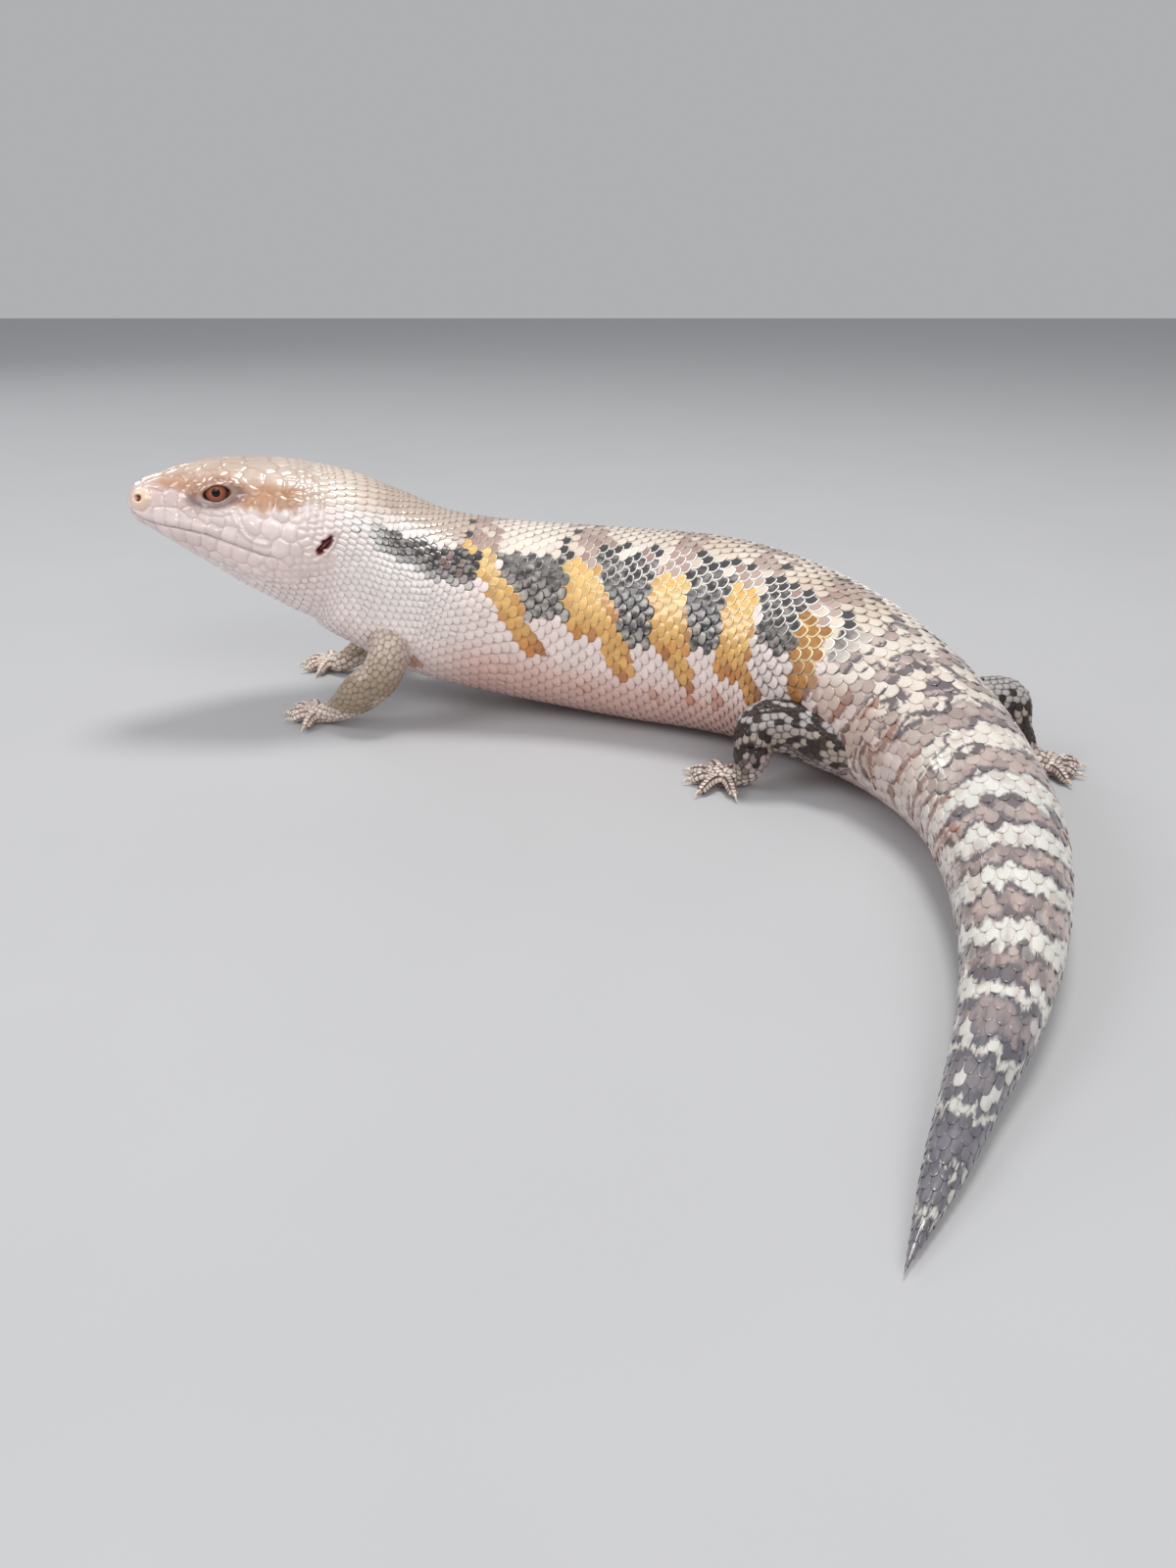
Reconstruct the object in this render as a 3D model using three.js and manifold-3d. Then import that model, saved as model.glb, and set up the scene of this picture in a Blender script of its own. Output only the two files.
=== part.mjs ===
// Northern blue-tongued skink lying at rest, a still life-size model.
// Millimetres, +Z up, floor at z = 0. The animal faces -X with its left side towards -Y, and its
// tail sweeps round towards -Y. The origin is on the flat of the belly, under the middle of the trunk.
import * as THREE from 'three';
import { mergeVertices } from 'three/addons/utils/BufferGeometryUtils.js';
import Module from 'manifold-3d';

const wasm = await Module();
wasm.setup();

// Driving dimensions
const SNOUT_TIP = new THREE.Vector3(-157.4, -13, 71);
const HEAD_YAW = THREE.MathUtils.degToRad(17);
const HEAD_PITCH = THREE.MathUtils.degToRad(16);
const GAP = 0.3;

// Head sections: distance back from the snout tip, half-width, height above and below the head axis
const HEAD_SECTIONS = [
  { back: -0.9, half: 0, up: 0, down: 0 },
  { back: -0.1, half: 4, up: 3.6, down: 3.4 },
  { back: 2.2, half: 6.8, up: 6.2, down: 5.4 },
  { back: 7, half: 9.2, up: 9.2, down: 7.2 },
  { back: 13, half: 12.2, up: 12.9, down: 9.6 },
  { back: 21, half: 15.6, up: 16.3, down: 12.6 },
  { back: 31, half: 19.2, up: 19, down: 16.6 },
  { back: 41, half: 21.8, up: 20.7, down: 19.8 },
  { back: 51, half: 23.2, up: 21.6, down: 23 },
  { back: 61, half: 23.8, up: 21.2, down: 26 },
];
const HEAD_ROUNDNESS = { crown: 2.4, jaw: 2.1 };

// Trunk and tail sections: axis x, y, z, half-width, height above and below the axis, belly squareness
// The lowest points lie half a millimetre under the floor and are cut off level with it
const BODY_SECTIONS = [
  { name: 'neck', at: [-90, 7, 48.3], half: 24.8, up: 21.9, down: 27.8, belly: 2.1 },
  { name: 'shoulder', at: [-75, 9, 41.8], half: 26.2, up: 21.7, down: 30.2, belly: 2.2 },
  { name: 'chest', at: [-55, 9.5, 36], half: 27.8, up: 23.9, down: 30, belly: 2.3 },
  { name: 'ribs', at: [-31.5, 8, 31.6], half: 29.4, up: 26.8, down: 29.6, belly: 2.4 },
  { name: 'middle', at: [-7, 2.5, 28.8], half: 30.6, up: 29.1, down: 29.3, belly: 2.4 },
  { name: 'flank', at: [17, -8, 28.2], half: 30.4, up: 29.1, down: 28.7, belly: 2.4 },
  { name: 'loin', at: [37, -23, 26.5], half: 28.4, up: 26.8, down: 27, belly: 2.3 },
  { name: 'pelvis', at: [52, -44, 23.8], half: 25.4, up: 24, down: 24.3, belly: 2.2 },
  { name: 'vent', at: [64, -68.5, 20], half: 21.2, up: 20, down: 20.5, belly: 2.1 },
  { name: 'tail_root', at: [70, -96.5, 16.3], half: 17, up: 16.3, down: 16.8, belly: 2.1 },
  { name: 'tail_quarter', at: [68.5, -124.5, 13.6], half: 14.3, up: 13.6, down: 14.1, belly: 2.1 },
  { name: 'tail_half', at: [62, -151.5, 10.6], half: 11.1, up: 10.6, down: 11.1, belly: 2.1 },
  { name: 'tail_narrow', at: [52.5, -175, 7.8], half: 8.1, up: 7.8, down: 8.3, belly: 2.1 },
  { name: 'tail_thin', at: [42, -194.2, 5.2], half: 5.5, up: 5.2, down: 5.7, belly: 2.1 },
  { name: 'tail_end', at: [32.3, -211.5, 3.3], half: 3.5, up: 3.3, down: 3.7, belly: 2.1 },
  { name: 'tail_tip', at: [21.5, -230.5, 1.2], half: 0, up: 0, down: 0, belly: 2 },
];
const TAIL_END_BLUNTNESS = 2.2;
const BACK_ROUNDNESS = 2;

// Cuts across the body: the section each lies at and how far past it, in sections
const BODY_CUTS = [
  { at: 'neck', past: -1.3 },
  { at: 'neck', past: 0.75 },
  { at: 'middle', past: 0 },
  { at: 'pelvis', past: 0.75 },
  { at: 'tail_quarter', past: 0 },
  { at: 'tail_narrow', past: 0 },
];
const BODY_CUT_REACH = 76;

// Head features, in the head's own axes: back from the snout, out to the side, up
const EYE = { back: 22.2, side: 10.7, up: 9, radius: 4.4 };
const EAR = { back: 53, side: 24, up: 3.1, deep: 4.5, wide: 1.9, tall: 4.6, slant: 25 };
const NOSTRIL = { back: 2.2, side: 6, up: 1.8, radius: 0.8, deep: 1.6 };
const MOUTH = { up: -4.2, corner: 44, lean: 2, past_snout: 10, past_side: 30, past_throat: 40 };

// Legs: joints along the bone line with the radius of the flesh there, then the foot
const LEGS = {
  fore_left: {
    joints: [
      { at: [-80, -3, 31], r: 7.6 }, { at: [-85.5, -10, 28.4], r: 6.7 }, { at: [-86, -15, 23.4], r: 6.3 },
      { at: [-89, -17.5, 17.6], r: 6.4 }, { at: [-95, -17, 12.6], r: 6.3 }, { at: [-100.3, -15, 8], r: 4.9 },
      { at: [-105, -12, 4.6], r: 3.6 },
    ],
    palm: { at: [-110.5, -9, 2.3], r: 4.5 },
    claw_tips: [[-115.6, 5.8], [-121, 2.2], [-123, -5.8], [-121.2, -12.6], [-113.8, -20.8]],
  },
  fore_right: {
    joints: [
      { at: [-80, 21, 31], r: 7.6 }, { at: [-85, 28, 28.4], r: 6.7 }, { at: [-87, 34, 23.4], r: 6.3 },
      { at: [-90.5, 37, 17.6], r: 6.2 }, { at: [-98, 37, 12.2], r: 5.6 }, { at: [-105, 36, 8], r: 4.6 },
      { at: [-110.5, 35.5, 4.6], r: 3.6 },
    ],
    palm: { at: [-116, 41, 2.3], r: 4.5 },
    claw_tips: [[-119.8, 29.6], [-126.2, 34.6], [-128.2, 41.8], [-126.4, 49.4], [-119.6, 56]],
  },
  hind_left: {
    joints: [
      { at: [50, -57, 15], r: 8.8 }, { at: [44.5, -64.5, 15.6], r: 8.7 }, { at: [34.5, -58.5, 17], r: 8.3 },
      { at: [22, -60, 19.2], r: 6.5 }, { at: [20.4, -61.5, 13.6], r: 5.7 },
      { at: [19.6, -60.4, 8.6], r: 4.9 }, { at: [18.6, -58.6, 4.8], r: 4 },
    ],
    palm: { at: [13, -56.4, 2.4], r: 4.7 },
    claw_tips: [[10.4, -43.4], [2, -49.6], [1.2, -57.8], [4, -67], [15.4, -69.6]],
  },
  hind_right: {
    joints: [
      { at: [66, -54, 15], r: 8.8 }, { at: [75, -49, 17], r: 8.6 }, { at: [86, -43.5, 19.2], r: 7.6 },
      { at: [95.2, -42, 19.6], r: 6.1 }, { at: [97, -44, 12.7], r: 5.2 }, { at: [99, -46, 8], r: 4.6 },
      { at: [101, -47.5, 4.8], r: 3.9 },
    ],
    palm: { at: [106.4, -49, 2.4], r: 4.7 },
    claw_tips: [[112.4, -37.6], [118.4, -41.8], [119, -47.2], [116, -54.6], [109.8, -61]],
  },
};
// The joint at the elbow or knee, and how wide the cuts there and at the wrist reach
const BEND = 3;
const BEND_CUT_REACH = 17;
const WRIST_CUT_REACH = 13;
const LIMB_END_ROUNDING = 0.12;
// The palm is flatter than a ball, and the wrist runs into it a little thinner than it
const PALM_FLATNESS = 0.62;
const WRIST_IN_PALM = 0.8;
// Toes: radii, heights, and where the root and the knuckle lie from the palm to the tip
const TOE = {
  root: 2, tip: 1.5, knuckle_height: 2.6, tip_height: 1.2, root_part: 0.25, knuckle_part: 0.62,
};
const CLAW = { length: 1.9, reach: 2.5, root: 0.75, tip: 0.28, hook: 0.5, lift: 0.1 };

// Mesh fineness
const BODY_SIDES = 22;
const BODY_RINGS = 68;
const LEG_SIDES = 10;
const LEG_RINGS = 15;
const TOE_SIDES = 6;
const TOE_RINGS = 4;
const PAD_MESH = { sides: 10, rings: 6 };
const EYE_MESH = { sides: 12, rings: 8 };
const EAR_MESH = { sides: 10, rings: 8 };
const NOSTRIL_MESH = { sides: 8, rings: 6 };
const CLAW_MESH = { sides: 6, rings: 2 };
const MERGE_DISTANCE = 1e-5;
const AXIS_STEP = 0.02;

// Colours and finishes
const SKIN = { roughness: 0.45, metalness: 0 };
const MATERIALS = {
  head: new THREE.MeshStandardMaterial({ color: 0xd8b793, ...SKIN }),
  flank: new THREE.MeshStandardMaterial({ color: 0xc9a27f, ...SKIN }),
  tail: new THREE.MeshStandardMaterial({ color: 0x9d8d86, ...SKIN }),
  foreleg: new THREE.MeshStandardMaterial({ color: 0xa08f78, ...SKIN }),
  hindleg: new THREE.MeshStandardMaterial({ color: 0x4b4543, ...SKIN }),
  claw: new THREE.MeshStandardMaterial({ color: 0xd9c6b4, roughness: 0.35, metalness: 0 }),
  eye: new THREE.MeshStandardMaterial({ color: 0x9a4424, roughness: 0.08, metalness: 0 }),
};

// The head's own axes, pointing back, to the animal's right and up
const HEAD_BACK = new THREE.Vector3(
  Math.cos(HEAD_YAW) * Math.cos(HEAD_PITCH),
  Math.sin(HEAD_YAW) * Math.cos(HEAD_PITCH),
  -Math.sin(HEAD_PITCH),
);
const HEAD_RIGHT = new THREE.Vector3(-Math.sin(HEAD_YAW), Math.cos(HEAD_YAW), 0);
const HEAD_UP = new THREE.Vector3().crossVectors(HEAD_BACK, HEAD_RIGHT);
const HEAD_AXES = [HEAD_BACK, HEAD_RIGHT, HEAD_UP];
const SIDES = { left: -1, right: 1 };

function headPoint(back, right, up) {
  return SNOUT_TIP.clone()
    .addScaledVector(HEAD_BACK, back)
    .addScaledVector(HEAD_RIGHT, right)
    .addScaledVector(HEAD_UP, up);
}

// Smooth value between listed ones: the place is a whole number at each listed value
function blend(values, place) {
  const last = values.length - 1;
  const i = Math.min(Math.floor(place), last - 1);
  const t = place - i;
  const [a, b, c, d] = [-1, 0, 1, 2].map((k) => values[Math.min(Math.max(i + k, 0), last)]);
  const slope = c - a;
  const square = 2 * a - 5 * b + 4 * c - d;
  const cube = 3 * b - a - 3 * c + d;
  return b + 0.5 * t * (slope + t * (square + t * cube));
}

// A closed tube: a sphere whose rings are moved to sections along a line
// pointAt sets a point of the skin, from the way along (0 to 1) and the angle round from the top
function tube(sides, rings, pointAt) {
  const geometry = new THREE.SphereGeometry(1, sides, rings);
  const position = geometry.attributes.position;
  const point = new THREE.Vector3();
  for (let i = 0; i < position.count; i += 1) {
    const ring = Math.floor(i / (sides + 1));
    const side = i % (sides + 1) % sides;
    pointAt(ring / rings, (2 * Math.PI * side) / sides, point);
    position.setXYZ(i, point.x, point.y, point.z);
  }
  return geometry;
}

function toSolid(geometry) {
  const bare = geometry.clone();
  bare.deleteAttribute('normal');
  bare.deleteAttribute('uv');
  const merged = mergeVertices(bare, MERGE_DISTANCE);
  const mesh = new wasm.Mesh({
    numProp: 3,
    vertProperties: new Float32Array(merged.attributes.position.array),
    triVerts: new Uint32Array(merged.index.array),
  });
  return new wasm.Manifold(mesh);
}

function toGeometry(solid) {
  const mesh = solid.getMesh();
  const geometry = new THREE.BufferGeometry();
  geometry.setAttribute('position', new THREE.BufferAttribute(mesh.vertProperties, 3));
  geometry.setIndex(new THREE.BufferAttribute(mesh.triVerts, 1));
  geometry.computeVertexNormals();
  return geometry;
}

// All sections in one list, from the snout to the tip of the tail
const SECTIONS = [
  ...HEAD_SECTIONS.map((s) => ({
    centre: headPoint(s.back, 0, 0), half: s.half, up: s.up, down: s.down,
    back: HEAD_ROUNDNESS.crown, belly: HEAD_ROUNDNESS.jaw,
  })),
  ...BODY_SECTIONS.map((s) => ({
    centre: new THREE.Vector3(...s.at), half: s.half, up: s.up, down: s.down,
    back: BACK_ROUNDNESS, belly: s.belly,
  })),
];
const COLUMN = {
  x: SECTIONS.map((s) => s.centre.x),
  y: SECTIONS.map((s) => s.centre.y),
  z: SECTIONS.map((s) => s.centre.z),
  half: SECTIONS.map((s) => s.half),
  up: SECTIONS.map((s) => s.up),
  down: SECTIONS.map((s) => s.down),
  back: SECTIONS.map((s) => s.back),
  belly: SECTIONS.map((s) => s.belly),
};
const LAST = SECTIONS.length - 1;

function axisPoint(place) {
  return new THREE.Vector3(blend(COLUMN.x, place), blend(COLUMN.y, place), blend(COLUMN.z, place));
}

// Directions at a place on the axis: along to the tail, to the animal's right and up
function axisFrame(place) {
  const before = axisPoint(Math.max(place - AXIS_STEP, 0));
  const after = axisPoint(Math.min(place + AXIS_STEP, LAST));
  const along = after.sub(before).normalize();
  const right = new THREE.Vector3(-along.y, along.x, 0).normalize();
  const up = new THREE.Vector3().crossVectors(along, right);
  return { centre: axisPoint(place), along, right, up };
}

// A sine or cosine squared off by a section's roundness: 2 gives an ellipse, more a fuller shape
function power(value, roundness) {
  return Math.sign(value) * Math.abs(value) ** (2 / roundness);
}

// Section number for a way along v from 0 to 1, with the rings drawn together at the tail's end
function placeAt(v) {
  const tail = LAST - 1;
  if (v * LAST <= tail) {
    return v * LAST;
  }
  const t = v * LAST - tail;
  return tail + 1 - (1 - t) ** TAIL_END_BLUNTNESS;
}

// The head, trunk and tail in one closed skin, grown outwards by extra
function bodyGeometry(extra) {
  return tube(BODY_SIDES, BODY_RINGS, (v, angle, point) => {
    const place = placeAt(v);
    const frame = axisFrame(place);
    const grow = v > 0 && v < 1 ? extra : 0;
    const half = Math.max(blend(COLUMN.half, place), 0) + grow;
    const above = Math.cos(angle) > 0;
    const tall = Math.max(blend(above ? COLUMN.up : COLUMN.down, place), 0) + grow;
    const roundness = blend(above ? COLUMN.back : COLUMN.belly, place);
    point.copy(frame.centre)
      .addScaledVector(frame.right, half * power(Math.sin(angle), roundness))
      .addScaledVector(frame.up, tall * power(Math.cos(angle), roundness));
    if (v === 0 || v === 1) {
      const end = v === 0 ? -extra : extra;
      point.copy(frame.centre).addScaledVector(frame.along, end);
    }
  });
}

// A limb or a toe: round sections along a smooth line of joints
function limbGeometry(joints, sides, rings) {
  const places = joints.map((j) => new THREE.Vector3(...j.at));
  const curve = new THREE.CatmullRomCurve3(places, false, 'catmullrom', 0.5);
  const radii = joints.map((j) => j.r);
  return tube(sides, rings, (v, angle, point) => {
    const t = (1 - Math.cos(Math.PI * v)) / 2;
    const centre = curve.getPoint(t);
    const along = curve.getTangent(t);
    const right = new THREE.Vector3(-along.y, along.x, 0).normalize();
    const up = new THREE.Vector3().crossVectors(along, right);
    const fromEnd = Math.min(t, 1 - t) / LIMB_END_ROUNDING;
    const closing = fromEnd < 1 ? Math.sqrt(1 - (1 - fromEnd) ** 2) : 1;
    const radius = blend(radii, t * (radii.length - 1)) * closing;
    point.copy(centre)
      .addScaledVector(right, radius * Math.sin(angle))
      .addScaledVector(up, radius * Math.cos(angle));
  });
}

// A ball stretched along its own axes
function ballGeometry(radii, fineness) {
  const geometry = new THREE.SphereGeometry(1, fineness.sides, fineness.rings);
  geometry.scale(...radii);
  return geometry;
}

// A thin plate across a point, facing along a direction
function slab(centre, facing, reach) {
  const geometry = new THREE.BoxGeometry(reach, reach, GAP);
  const turn = new THREE.Quaternion().setFromUnitVectors(new THREE.Vector3(0, 0, 1), facing);
  geometry.applyQuaternion(turn);
  geometry.translate(centre.x, centre.y, centre.z);
  return toSolid(geometry);
}

// A shape turned to three axes and moved to a centre
function placed(geometry, centre, basis) {
  geometry.applyMatrix4(new THREE.Matrix4().makeBasis(...basis));
  geometry.translate(centre.x, centre.y, centre.z);
  return toSolid(geometry);
}

// The floor, as a block that levels off all that lies below z = 0
const FLOOR_SIZE = { side: 700, deep: 40 };
const floorBlock = new THREE.BoxGeometry(FLOOR_SIZE.side, FLOOR_SIZE.side, FLOOR_SIZE.deep);
floorBlock.translate(0, 0, -FLOOR_SIZE.deep / 2);
const FLOOR = toSolid(floorBlock);

const object = new THREE.Group();

function addMesh(name, solid, material) {
  const mesh = new THREE.Mesh(toGeometry(solid), material);
  mesh.name = name;
  object.add(mesh);
}

// Hollows for the eyes, ear openings and nostrils
function headHollows() {
  const hollows = [];
  for (const side of Object.values(SIDES)) {
    const socket = EYE.radius + GAP;
    const eye = ballGeometry([socket, socket, socket], EYE_MESH);
    hollows.push(placed(eye, headPoint(EYE.back, side * EYE.side, EYE.up), HEAD_AXES));
    const ear = ballGeometry([EAR.wide, EAR.deep, EAR.tall], EAR_MESH);
    ear.rotateY(THREE.MathUtils.degToRad(EAR.slant));
    hollows.push(placed(ear, headPoint(EAR.back, side * EAR.side, EAR.up), HEAD_AXES));
    const nostril = ballGeometry([NOSTRIL.radius, NOSTRIL.deep, NOSTRIL.radius], NOSTRIL_MESH);
    const nostrilCentre = headPoint(NOSTRIL.back, side * NOSTRIL.side, NOSTRIL.up);
    hollows.push(placed(nostril, nostrilCentre, HEAD_AXES));
  }
  return hollows;
}

// The cut between the lips, level with the head and then down behind the corner of the mouth
function mouthCut() {
  const wide = 2 * MOUTH.past_side;
  const along = new THREE.BoxGeometry(MOUTH.corner + MOUTH.past_snout, wide, GAP);
  along.translate((MOUTH.corner - MOUTH.past_snout) / 2, 0, 0);
  const behind = new THREE.BoxGeometry(GAP, wide, MOUTH.past_throat);
  behind.translate(MOUTH.corner, 0, -MOUTH.past_throat / 2);
  const cuts = [along, behind].map((g) => {
    g.rotateY(THREE.MathUtils.degToRad(MOUTH.lean));
    return placed(g, headPoint(0, 0, MOUTH.up), HEAD_AXES);
  });
  return cuts[0].add(cuts[1]);
}

// Section numbers of the cuts across the body, and of the tail's tip
const CUT_PLACES = BODY_CUTS.map((cut) => {
  const section = BODY_SECTIONS.findIndex((s) => s.name === cut.at);
  return HEAD_SECTIONS.length + section + cut.past;
});
const NODE_ENDS = [...CUT_PLACES, LAST];

function betweenCuts(i) {
  return axisPoint((NODE_ENDS[i] + NODE_ENDS[i + 1]) / 2);
}

// A point near the middle of each part of the body
const BODY_NODES = [
  { name: 'lower_jaw', near: headPoint(20, 0, -9), material: MATERIALS.head },
  { name: 'head', near: headPoint(34, 0, 6), material: MATERIALS.head },
  { name: 'neck', near: betweenCuts(0), material: MATERIALS.head },
  { name: 'trunk_front', near: betweenCuts(1), material: MATERIALS.flank },
  { name: 'trunk_rear', near: betweenCuts(2), material: MATERIALS.flank },
  { name: 'tail_base', near: betweenCuts(3), material: MATERIALS.tail },
  { name: 'tail_mid', near: betweenCuts(4), material: MATERIALS.tail },
  { name: 'tail_tip', near: betweenCuts(5), material: MATERIALS.tail },
];

// Names each loose piece after the nearest reference point, keeping the larger piece for each name
function nameNearest(solid, nodes) {
  const found = new Map();
  for (const piece of solid.decompose()) {
    const box = piece.boundingBox();
    const middle = new THREE.Vector3().fromArray(box.min)
      .add(new THREE.Vector3().fromArray(box.max))
      .multiplyScalar(0.5);
    const away = nodes.map((n) => n.near.distanceTo(middle));
    const node = nodes[away.indexOf(Math.min(...away))];
    const rival = found.get(node);
    if (!rival || rival.volume() < piece.volume()) {
      found.set(node, piece);
    }
  }
  for (const [node, piece] of found) {
    addMesh(node.name, piece, node.material);
  }
}

// Head, neck, trunk and tail: one shape, hollowed for eyes, ears and nostrils and cut into parts
function addBody() {
  let body = toSolid(bodyGeometry(0)).subtract(FLOOR);
  for (const hollow of headHollows()) {
    body = body.subtract(hollow);
  }
  body = body.subtract(mouthCut());
  for (const place of CUT_PLACES) {
    const frame = axisFrame(place);
    body = body.subtract(slab(frame.centre, frame.along, BODY_CUT_REACH));
  }
  nameNearest(body, BODY_NODES);
}

function addEyes() {
  for (const [side, sign] of Object.entries(SIDES)) {
    const ball = ballGeometry([EYE.radius, EYE.radius, EYE.radius], EYE_MESH);
    const centre = headPoint(EYE.back, sign * EYE.side, EYE.up);
    addMesh(`eye_${side}`, placed(ball, centre, HEAD_AXES), MATERIALS.eye);
  }
}

// The fleshy tip of a toe, one claw's length short of the claw's own tip
function toeTip(palm, clawTip) {
  const from = new THREE.Vector3(palm.at[0], palm.at[1], 0);
  const heading = new THREE.Vector3(clawTip[0], clawTip[1], 0).sub(from).normalize();
  return [clawTip[0] - heading.x * CLAW.reach, clawTip[1] - heading.y * CLAW.reach];
}

// A toe arches from the palm over its knuckle to a tip on the floor
function toeJoints(palm, tip) {
  const from = new THREE.Vector3(...palm.at);
  const to = new THREE.Vector3(tip[0], tip[1], TOE.tip_height);
  const start = from.clone().lerp(to, TOE.root_part);
  start.z = palm.at[2];
  const knuckle = from.clone().lerp(to, TOE.knuckle_part);
  knuckle.z = TOE.knuckle_height;
  return [
    { at: start.toArray(), r: TOE.root },
    { at: knuckle.toArray(), r: (TOE.root + TOE.tip) / 2 },
    { at: to.toArray(), r: TOE.tip },
  ];
}

// A claw is a small hooked cone just beyond the toe's tip
function claw(palm, tip) {
  const heading = new THREE.Vector3(tip[0] - palm.at[0], tip[1] - palm.at[1], 0).normalize();
  const root = new THREE.Vector3(tip[0], tip[1], TOE.tip_height + CLAW.lift);
  const { sides, rings } = CLAW_MESH;
  const geometry = new THREE.CylinderGeometry(CLAW.tip, CLAW.root, CLAW.length, sides, rings);
  geometry.rotateX(Math.PI / 2);
  geometry.translate(0, 0, CLAW.length / 2 + GAP);
  const position = geometry.attributes.position;
  for (let i = 0; i < position.count; i += 1) {
    const along = position.getZ(i) / CLAW.length;
    position.setY(i, position.getY(i) - CLAW.hook * along * along);
  }
  const upright = new THREE.Vector3(0, 0, 1);
  const across = upright.clone().cross(heading);
  return placed(geometry, root, [across, upright, heading]);
}

// Each leg with its foot, cut at the elbow or knee and at the wrist or ankle, and its five claws
function addLegs() {
  const grownBody = toSolid(bodyGeometry(GAP));
  for (const [leg, { joints, palm, claw_tips: clawTips }] of Object.entries(LEGS)) {
    const toes = clawTips.map((tip) => toeTip(palm, tip));
    const material = leg.startsWith('fore') ? MATERIALS.foreleg : MATERIALS.hindleg;
    const points = joints.map((joint) => new THREE.Vector3(...joint.at));
    const [upperMiddle, elbow, lowerMiddle] = points.slice(BEND - 1, BEND + 2);
    const wrist = points[points.length - 1];
    const palmMiddle = new THREE.Vector3(...palm.at);
    const bone = joints.concat([{ at: palm.at, r: palm.r * WRIST_IN_PALM }]);
    let limb = toSolid(limbGeometry(bone, LEG_SIDES, LEG_RINGS));
    const pad = ballGeometry([palm.r, palm.r, palm.r * PALM_FLATNESS], PAD_MESH);
    pad.translate(...palm.at);
    limb = limb.add(toSolid(pad));
    for (const tip of toes) {
      limb = limb.add(toSolid(limbGeometry(toeJoints(palm, tip), TOE_SIDES, TOE_RINGS)));
    }
    const upperWay = elbow.clone().sub(upperMiddle).normalize();
    const lowerWay = lowerMiddle.clone().sub(elbow).normalize();
    const footWay = palmMiddle.clone().sub(wrist).normalize();
    limb = limb.subtract(slab(elbow, upperWay.add(lowerWay).normalize(), BEND_CUT_REACH));
    limb = limb.subtract(slab(wrist, footWay.add(lowerWay).normalize(), WRIST_CUT_REACH));
    limb = limb.subtract(grownBody).subtract(FLOOR);
    nameNearest(limb, [
      { name: `${leg}_upper`, near: upperMiddle, material },
      { name: `${leg}_lower`, near: lowerMiddle, material },
      { name: `${leg}_foot`, near: palmMiddle, material },
    ]);
    toes.forEach((tip, i) => {
      addMesh(`${leg}_claw_${i + 1}`, claw(palm, tip).subtract(FLOOR), MATERIALS.claw);
    });
  }
}

addBody();
addEyes();
addLegs();

export default object;
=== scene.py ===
# Northern blue-tongued skink, still life-size model: skin, scales, eyes and claws round the solids.
# Sizes of the animal are in millimetres, and MM turns them into metres when a mesh is made. Camera,
# lamps and floor are in metres. The animal faces -X with its left side towards -Y, and the floor is
# z = 0.
import math

import bpy
import numpy as np
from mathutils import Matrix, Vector, kdtree
from mathutils.bvhtree import BVHTree


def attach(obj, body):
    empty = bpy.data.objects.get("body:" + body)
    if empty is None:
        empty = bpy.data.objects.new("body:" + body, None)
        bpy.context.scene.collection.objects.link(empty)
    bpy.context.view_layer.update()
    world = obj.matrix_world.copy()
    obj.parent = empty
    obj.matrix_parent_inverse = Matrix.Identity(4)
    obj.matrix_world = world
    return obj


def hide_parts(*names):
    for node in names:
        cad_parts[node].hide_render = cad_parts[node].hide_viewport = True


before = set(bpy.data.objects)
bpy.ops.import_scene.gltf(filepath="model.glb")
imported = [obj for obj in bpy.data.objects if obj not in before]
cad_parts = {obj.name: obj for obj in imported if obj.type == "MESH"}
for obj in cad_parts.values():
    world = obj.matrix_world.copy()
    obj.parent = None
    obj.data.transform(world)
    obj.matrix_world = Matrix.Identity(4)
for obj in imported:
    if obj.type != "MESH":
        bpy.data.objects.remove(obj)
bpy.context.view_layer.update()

MM = 0.001
DEG = math.pi / 180

# The form: the same sections as the solids
SNOUT_TIP = np.array([-157.4, -13.0, 71.0])
HEAD_YAW = 17 * DEG
HEAD_PITCH = 16 * DEG
CROWN_ROUNDNESS = 2.4
JAW_ROUNDNESS = 2.1
BACK_ROUNDNESS = 2.0

# Head sections: distance back from the snout tip, half-width, height above and below the head axis
HEAD_SECTIONS = [
    (-0.9, 0, 0, 0),
    (-0.1, 4, 3.6, 3.4),
    (2.2, 6.8, 6.2, 5.4),
    (7, 9.2, 9.2, 7.2),
    (13, 12.2, 12.9, 9.6),
    (21, 15.6, 16.3, 12.6),
    (31, 19.2, 19, 16.6),
    (41, 21.8, 20.7, 19.8),
    (51, 23.2, 21.6, 23),
    (61, 23.8, 21.2, 26),
]

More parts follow.
